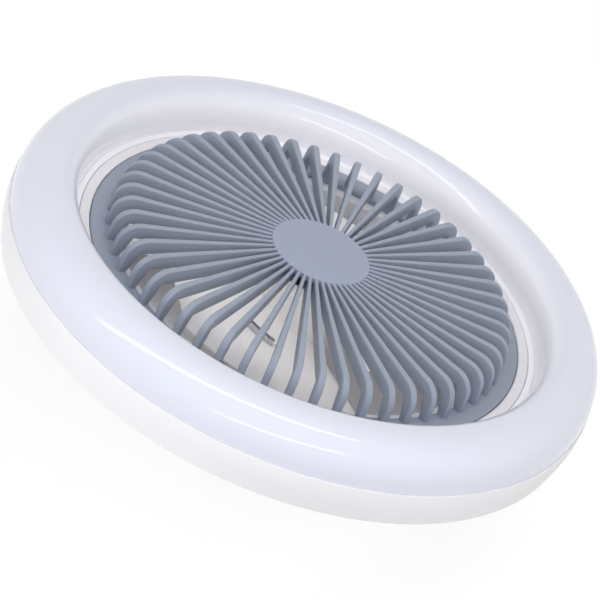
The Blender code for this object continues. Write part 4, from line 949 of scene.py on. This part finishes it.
def makeWindings(sizes):
    wire, corner, length = sizes["wire"], sizes["corner"], sizes["front"] - sizes["back"]
    middle = facing((sizes["front"] + sizes["back"]) / 2)
    loops = asObject("windings", bmesh.new())
    applyTree(loops, trees["winding"], {
        "Turns": sizes["turns"], "Wire Radius": wire, "First Radius": sizes["inner"] + wire,
        "Last Radius": sizes["outer"] - wire, "Width": 2 * (sizes["halfWidth"] - wire),
        "Length": length - 2 * wire, "Corner": corner, "Level": middle, "Finish": looks["copper winding"],
    })

    def core(name, outline, ends):
        return lofted(name, [[(radius, y, middle + z) for y, z in outline] for radius in ends])

    flat = [(y, z, corner) for y, z in block(sizes["halfWidth"] - wire, length / 2 - wire)]
    body = core("core", softCorners(flat, sizes["cornerSteps"]), sizes["coreReach"])
    hole = block(sizes["holeHalf"], (sizes["holeFront"] - sizes["holeBack"]) / 2)
    carve(body, [core("tooth", hole, sizes["holeReach"])])
    mergeInto(loops, [body])
    spreadRound(loops, sizes["coils"], 0, "copper winding")
    nodes = [f"coil_{index + 1}" for index in range(sizes["coils"])]
    finishPiece(loops, "housing", "copper winding", nodes, sizes["crease"])


makeWindings(windingSizes)

# Screws

screwKinds = {
    "case_screws": dict(
        count=4, circle=0.112, first=45, seat=-0.0267, gap=0, up=1, radius=0.0015,
        length=0.01, head=0.0029, headHeight=0.0018, body="housing",
    ),
    "light_board_screws": dict(
        count=4, circle=0.123, first=12, seat=-0.0121, gap=0.0003, up=-1,
        radius=0.0012, length=0.004, head=0.0024, headHeight=0.0012, body="housing",
    ),
    "impeller_screws": dict(
        count=3, circle=0.0184, first=60, seat=0.0053, gap=0.00015, up=-1,
        radius=0.0009, length=0.003, head=0.0016, headHeight=0.001, body="rotor",
    ),
}
# tip to root are shares of the shank's radius, rim to crown of the head's height, and top to
# crossShort of the head's radius; crossFloor and crossTop are the recess's height and growth
screwForm = dict(
    tip=0.3, point=0.8, pitch=0.75, root=0.78, rim=0.35, rimRounding=0.1, crown=0.3,
    top=0.6, crossLong=0.55, crossShort=0.11, crossFloor=(0.3, 0.6), crossTop=(1.2, 1.1),
    steps=28, facets=3, crease=30,
)


def makeScrews(name, sizes, form):
    up, radius, head = sizes["up"], sizes["radius"], sizes["head"]
    tip, top = -sizes["length"], sizes["headHeight"]
    pitch, level, crown = radius * form["pitch"], tip + radius, top * form["crown"]
    corners = [(0, tip), (radius * form["tip"], tip), (radius * form["point"], level)]
    while level + pitch < -pitch / 2:
        corners += [(radius, level + pitch / 2), (radius * form["root"], level + pitch)]
        level += pitch
    corners += [
        (radius, 0), (head, 0, top * form["rimRounding"]), (head, top * form["rim"], crown),
        (head * form["top"], top, crown), (0, top),
    ]
    screw = turned(name, corners, form["steps"], form["facets"])
    reach, half = head * form["crossLong"], head * form["crossShort"]
    carve(screw, [lofted("cross", [
        [(x * grow, y * grow, top * rise) for x, y in block(*sides)]
        for rise, grow in (form["crossFloor"], form["crossTop"])
    ]) for sides in ((half, reach), (reach, half))])
    seat = facing(sizes["seat"]) - sizes["gap"]
    place = Matrix.Translation((sizes["circle"], 0, seat)) @ Matrix.Scale(up, 4, (0, 0, 1))
    shape = bmesh.new()
    shape.from_mesh(screw.data)
    bmesh.ops.transform(shape, matrix=place, verts=shape.verts)
    bmesh.ops.remove_doubles(shape, verts=shape.verts, dist=mergeDistance)
    bmesh.ops.recalc_face_normals(shape, faces=shape.faces)
    shape.to_mesh(screw.data)
    shape.free()
    spreadRound(screw, sizes["count"], math.radians(sizes["first"]), "bright steel")
    nodes = [f"{name.removesuffix('s')}_{index + 1}" for index in range(sizes["count"])]
    finishPiece(screw, sizes["body"], "bright steel", nodes, form["crease"])


for name, sizes in screwKinds.items():
    makeScrews(name, sizes, screwForm)

# Light board

chipSizes = dict(
    rows=((60, 0.1098), (66, 0.1186)), size=0.0028, thickness=0.0007, sunk=0.0001,
    edge=0.00015, board=-0.0121, crease=30,
)


def makeChips(sizes):
    half, front = sizes["size"] / 2, facing(sizes["board"])
    rows = []
    for count, circle in sizes["rows"]:
        outline = [(circle + x, y) for x, y in block(half, half)]
        chip = slab("chip", outline, front + sizes["sunk"], front - sizes["thickness"])
        rows.append(spreadRound(roundEdges(chip, sizes["edge"], 1), count, math.pi / count, "yellow tape"))
    made = mergeInto(rows[0], rows[1:])
    made.name = "light_chips"
    finishPiece(made, "housing", "yellow tape", [], sizes["crease"])


makeChips(chipSizes)

# Pieces kept from the frame

keptNodes = {
    "white board": ["light_board"], "cast aluminium": ["motor_pedestal"], "core steel": ["stator_core"],
    "green board": ["motor_board", "driver_board"], "sintered bronze": ["front_bearing", "rear_bearing"],
    "bright steel": ["bearing_tube", "motor_shaft", "shaft_clip"] + [
        f"{kind}_screw_{index}" for kind in ("pedestal", "neck") for index in (1, 2, 3)
    ],
    "ferrite magnet": ["magnet_ring"], "yellow tape": ["transformer"],
    "film capacitor case": ["film_capacitor"], "capacitor sleeve": ["bulk_capacitor", "inductor"],
    "red lead": ["live_lead", "motor_lead_red", "light_lead_red"],
    "black lead": ["neutral_lead", "motor_lead_black", "light_lead_black"],
}
for finish, nodes in keptNodes.items():
    for node in nodes:
        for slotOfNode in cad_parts[node].material_slots:
            slotOfNode.material = looks[finish]
print("kept nodes dressed:", sum(map(len, keptNodes.values())))

# Studio

sensorWidth = 36
photoWidth = 600
camera = dict(
    place=(-0.0005, -1.4289, -0.9581), right=(-0.9058, 0.2254, -0.3589),
    up=(0.4238, 0.4818, -0.767), back=(0.0, -0.8468, -0.5319), focalPixels=4027.17,
    nearest=0.05, farthest=50,
)
studio = dict(world=0.33, backdrop=1, floorLevel=0.0275, floorSize=8, floorShade=0.34, floorGlow=0.74)
innerFills = {  # they stand for the light that comes through the white shell, and shine to the rear
    "blade fill": dict(radius=0.066, height=0.007, power=0.018),
    "floor fill": dict(radius=0.07, height=-0.026, power=0.006),
}
# name: way (right, up, towards the camera, as the camera sees them), distance, size, level
boxLamps = {
    "overhead box": ((0.36, 0.77, 0.53), 1.6, (1.2, 1.2), 0.24),
    "front box": ((-0.05, 0.1, 0.99), 1.9, (0.9, 0.9), 0.12),
    "below box": ((-0.05, -0.7, 0.71), 1.6, (1.2, 0.8), 0.36),
    "high left box": ((-0.85, 0.3, 0.45), 1.7, (0.7, 0.7), 0.26),
    "right box": ((0.95, 0, 0.3), 1.7, (0.8, 0.8), 0.23),
    "rear left box": ((-0.95, -0.25, -0.1), 1.6, (0.8, 0.8), 0.12),
    "rear box": ((-0.5, -0.5, -0.7), 1.6, (1.4, 1.4), 0.32),
}
stripLamps = {  # only these show in glossy surfaces
    "overhead strip": ((-0.03, 0.56, 0.8), 1.3, (2.4, 0.18), 0.27),
    "front strip": ((0.12, -0.22, 0.96), 1.5, (1.3, 0.14), 0.09),
}


def placed(name, data, place, axes):
    made = newObject(name, data)
    made.matrix_world = Matrix.Translation(place) @ axes.to_4x4()
    return made


def areaLight(name, shape, size, energy):
    light = bpy.data.lights.new(name, "AREA")
    light.shape, light.size, light.energy = shape, size, energy
    return light


def makeCamera(sizes):
    axes = Matrix((sizes["right"], sizes["up"], sizes["back"])).transposed()
    eye = placed("photoCamera", bpy.data.cameras.new("photoCamera"), sizes["place"], axes)
    eye.data.sensor_width = sensorWidth
    eye.data.lens = sizes["focalPixels"] * sensorWidth / photoWidth
    eye.data.clip_start, eye.data.clip_end = sizes["nearest"], sizes["farthest"]
    bpy.context.scene.camera = eye
    return axes


def makeLamps(lamps, axes, mirrored):
    for name, (way, far, (wide, high), level) in lamps.items():
        light = areaLight(name, "RECTANGLE", wide, level * (math.pi * far) ** 2)
        light.size_y = high
        way = (axes @ Vector(way)).normalized()
        up = way.cross(axes @ Vector((1, 0, 0))).normalized()
        turn = Matrix((up.cross(way), up, way)).transposed()
        made = placed(name, light, Vector((0, 0, jointPlane)) + way * far, turn)
        made.visible_glossy = mirrored


def makeInnerFills():
    for name, sizes in innerFills.items():
        light = areaLight(name, "DISK", 2 * sizes["radius"], sizes["power"])
        place = (0, 0, facing(sizes["height"]))
        made = placed(name, light, place, Matrix.Rotation(math.pi, 3, "X"))
        made.visible_camera = made.visible_glossy = False


def seenDirectly(tree):  # 1 for what the camera sees, directly, in a reflection or through glass
    path = addNode(tree, "ShaderNodeLightPath").outputs
    either = addMath(tree, "MAXIMUM", path["Is Camera Ray"], path["Is Glossy Ray"])
    return addMath(tree, "MAXIMUM", either, path["Is Transmission Ray"])


def makeWorld(sizes):
    world = bpy.data.worlds.new("studio")
    world.use_nodes = True
    bpy.context.scene.world = world
    tree = world.node_tree
    light = fillNode(tree, tree.nodes["Background"], {"Color": white, "Strength": sizes["world"]})
    seen = addNode(tree, "ShaderNodeBackground", {"Color": white, "Strength": sizes["backdrop"]})
    mixed = mixShaders(tree, seenDirectly(tree), light, seen)
    fillNode(tree, tree.nodes["World Output"], {"Surface": mixed})


def makeFloor(sizes):  # it lies behind the cap, and shows only from the face's side
    half, shade = sizes["floorSize"] / 2, sizes["floorShade"]
    shape = bmesh.new()
    shape.faces.new([shape.verts.new((x, y, sizes["floorLevel"])) for x, y in reversed(block(half, half))])
    floor = asObject("studio_floor", shape)
    look = bpy.data.materials.new("pale floor")
    look.use_nodes = True
    tree = look.node_tree
    tree.nodes.remove(tree.nodes["Principled BSDF"])
    diffuse = addNode(tree, "ShaderNodeBsdfDiffuse", {"Color": (shade, shade, shade, 1)})
    glow = addNode(tree, "ShaderNodeEmission", {"Color": white, "Strength": sizes["floorGlow"]})
    both = addNode(tree, "ShaderNodeAddShader", {0: diffuse, 1: glow})
    clear = addNode(tree, "ShaderNodeBsdfTransparent")
    behind = addNode(tree, "ShaderNodeNewGeometry").outputs["Backfacing"]
    front = addMath(tree, "SUBTRACT", seenDirectly(tree), behind, use_clamp=True)
    fillNode(tree, tree.nodes["Material Output"], {"Surface": mixShaders(tree, front, clear, both)})
    floor.data.materials.append(look)


cameraAxes = makeCamera(camera)
makeLamps(boxLamps, cameraAxes, False)
makeLamps(stripLamps, cameraAxes, True)
makeInnerFills()
makeWorld(studio)
makeFloor(studio)
bpy.context.scene.view_settings.view_transform = "Standard"
print("studio lit")
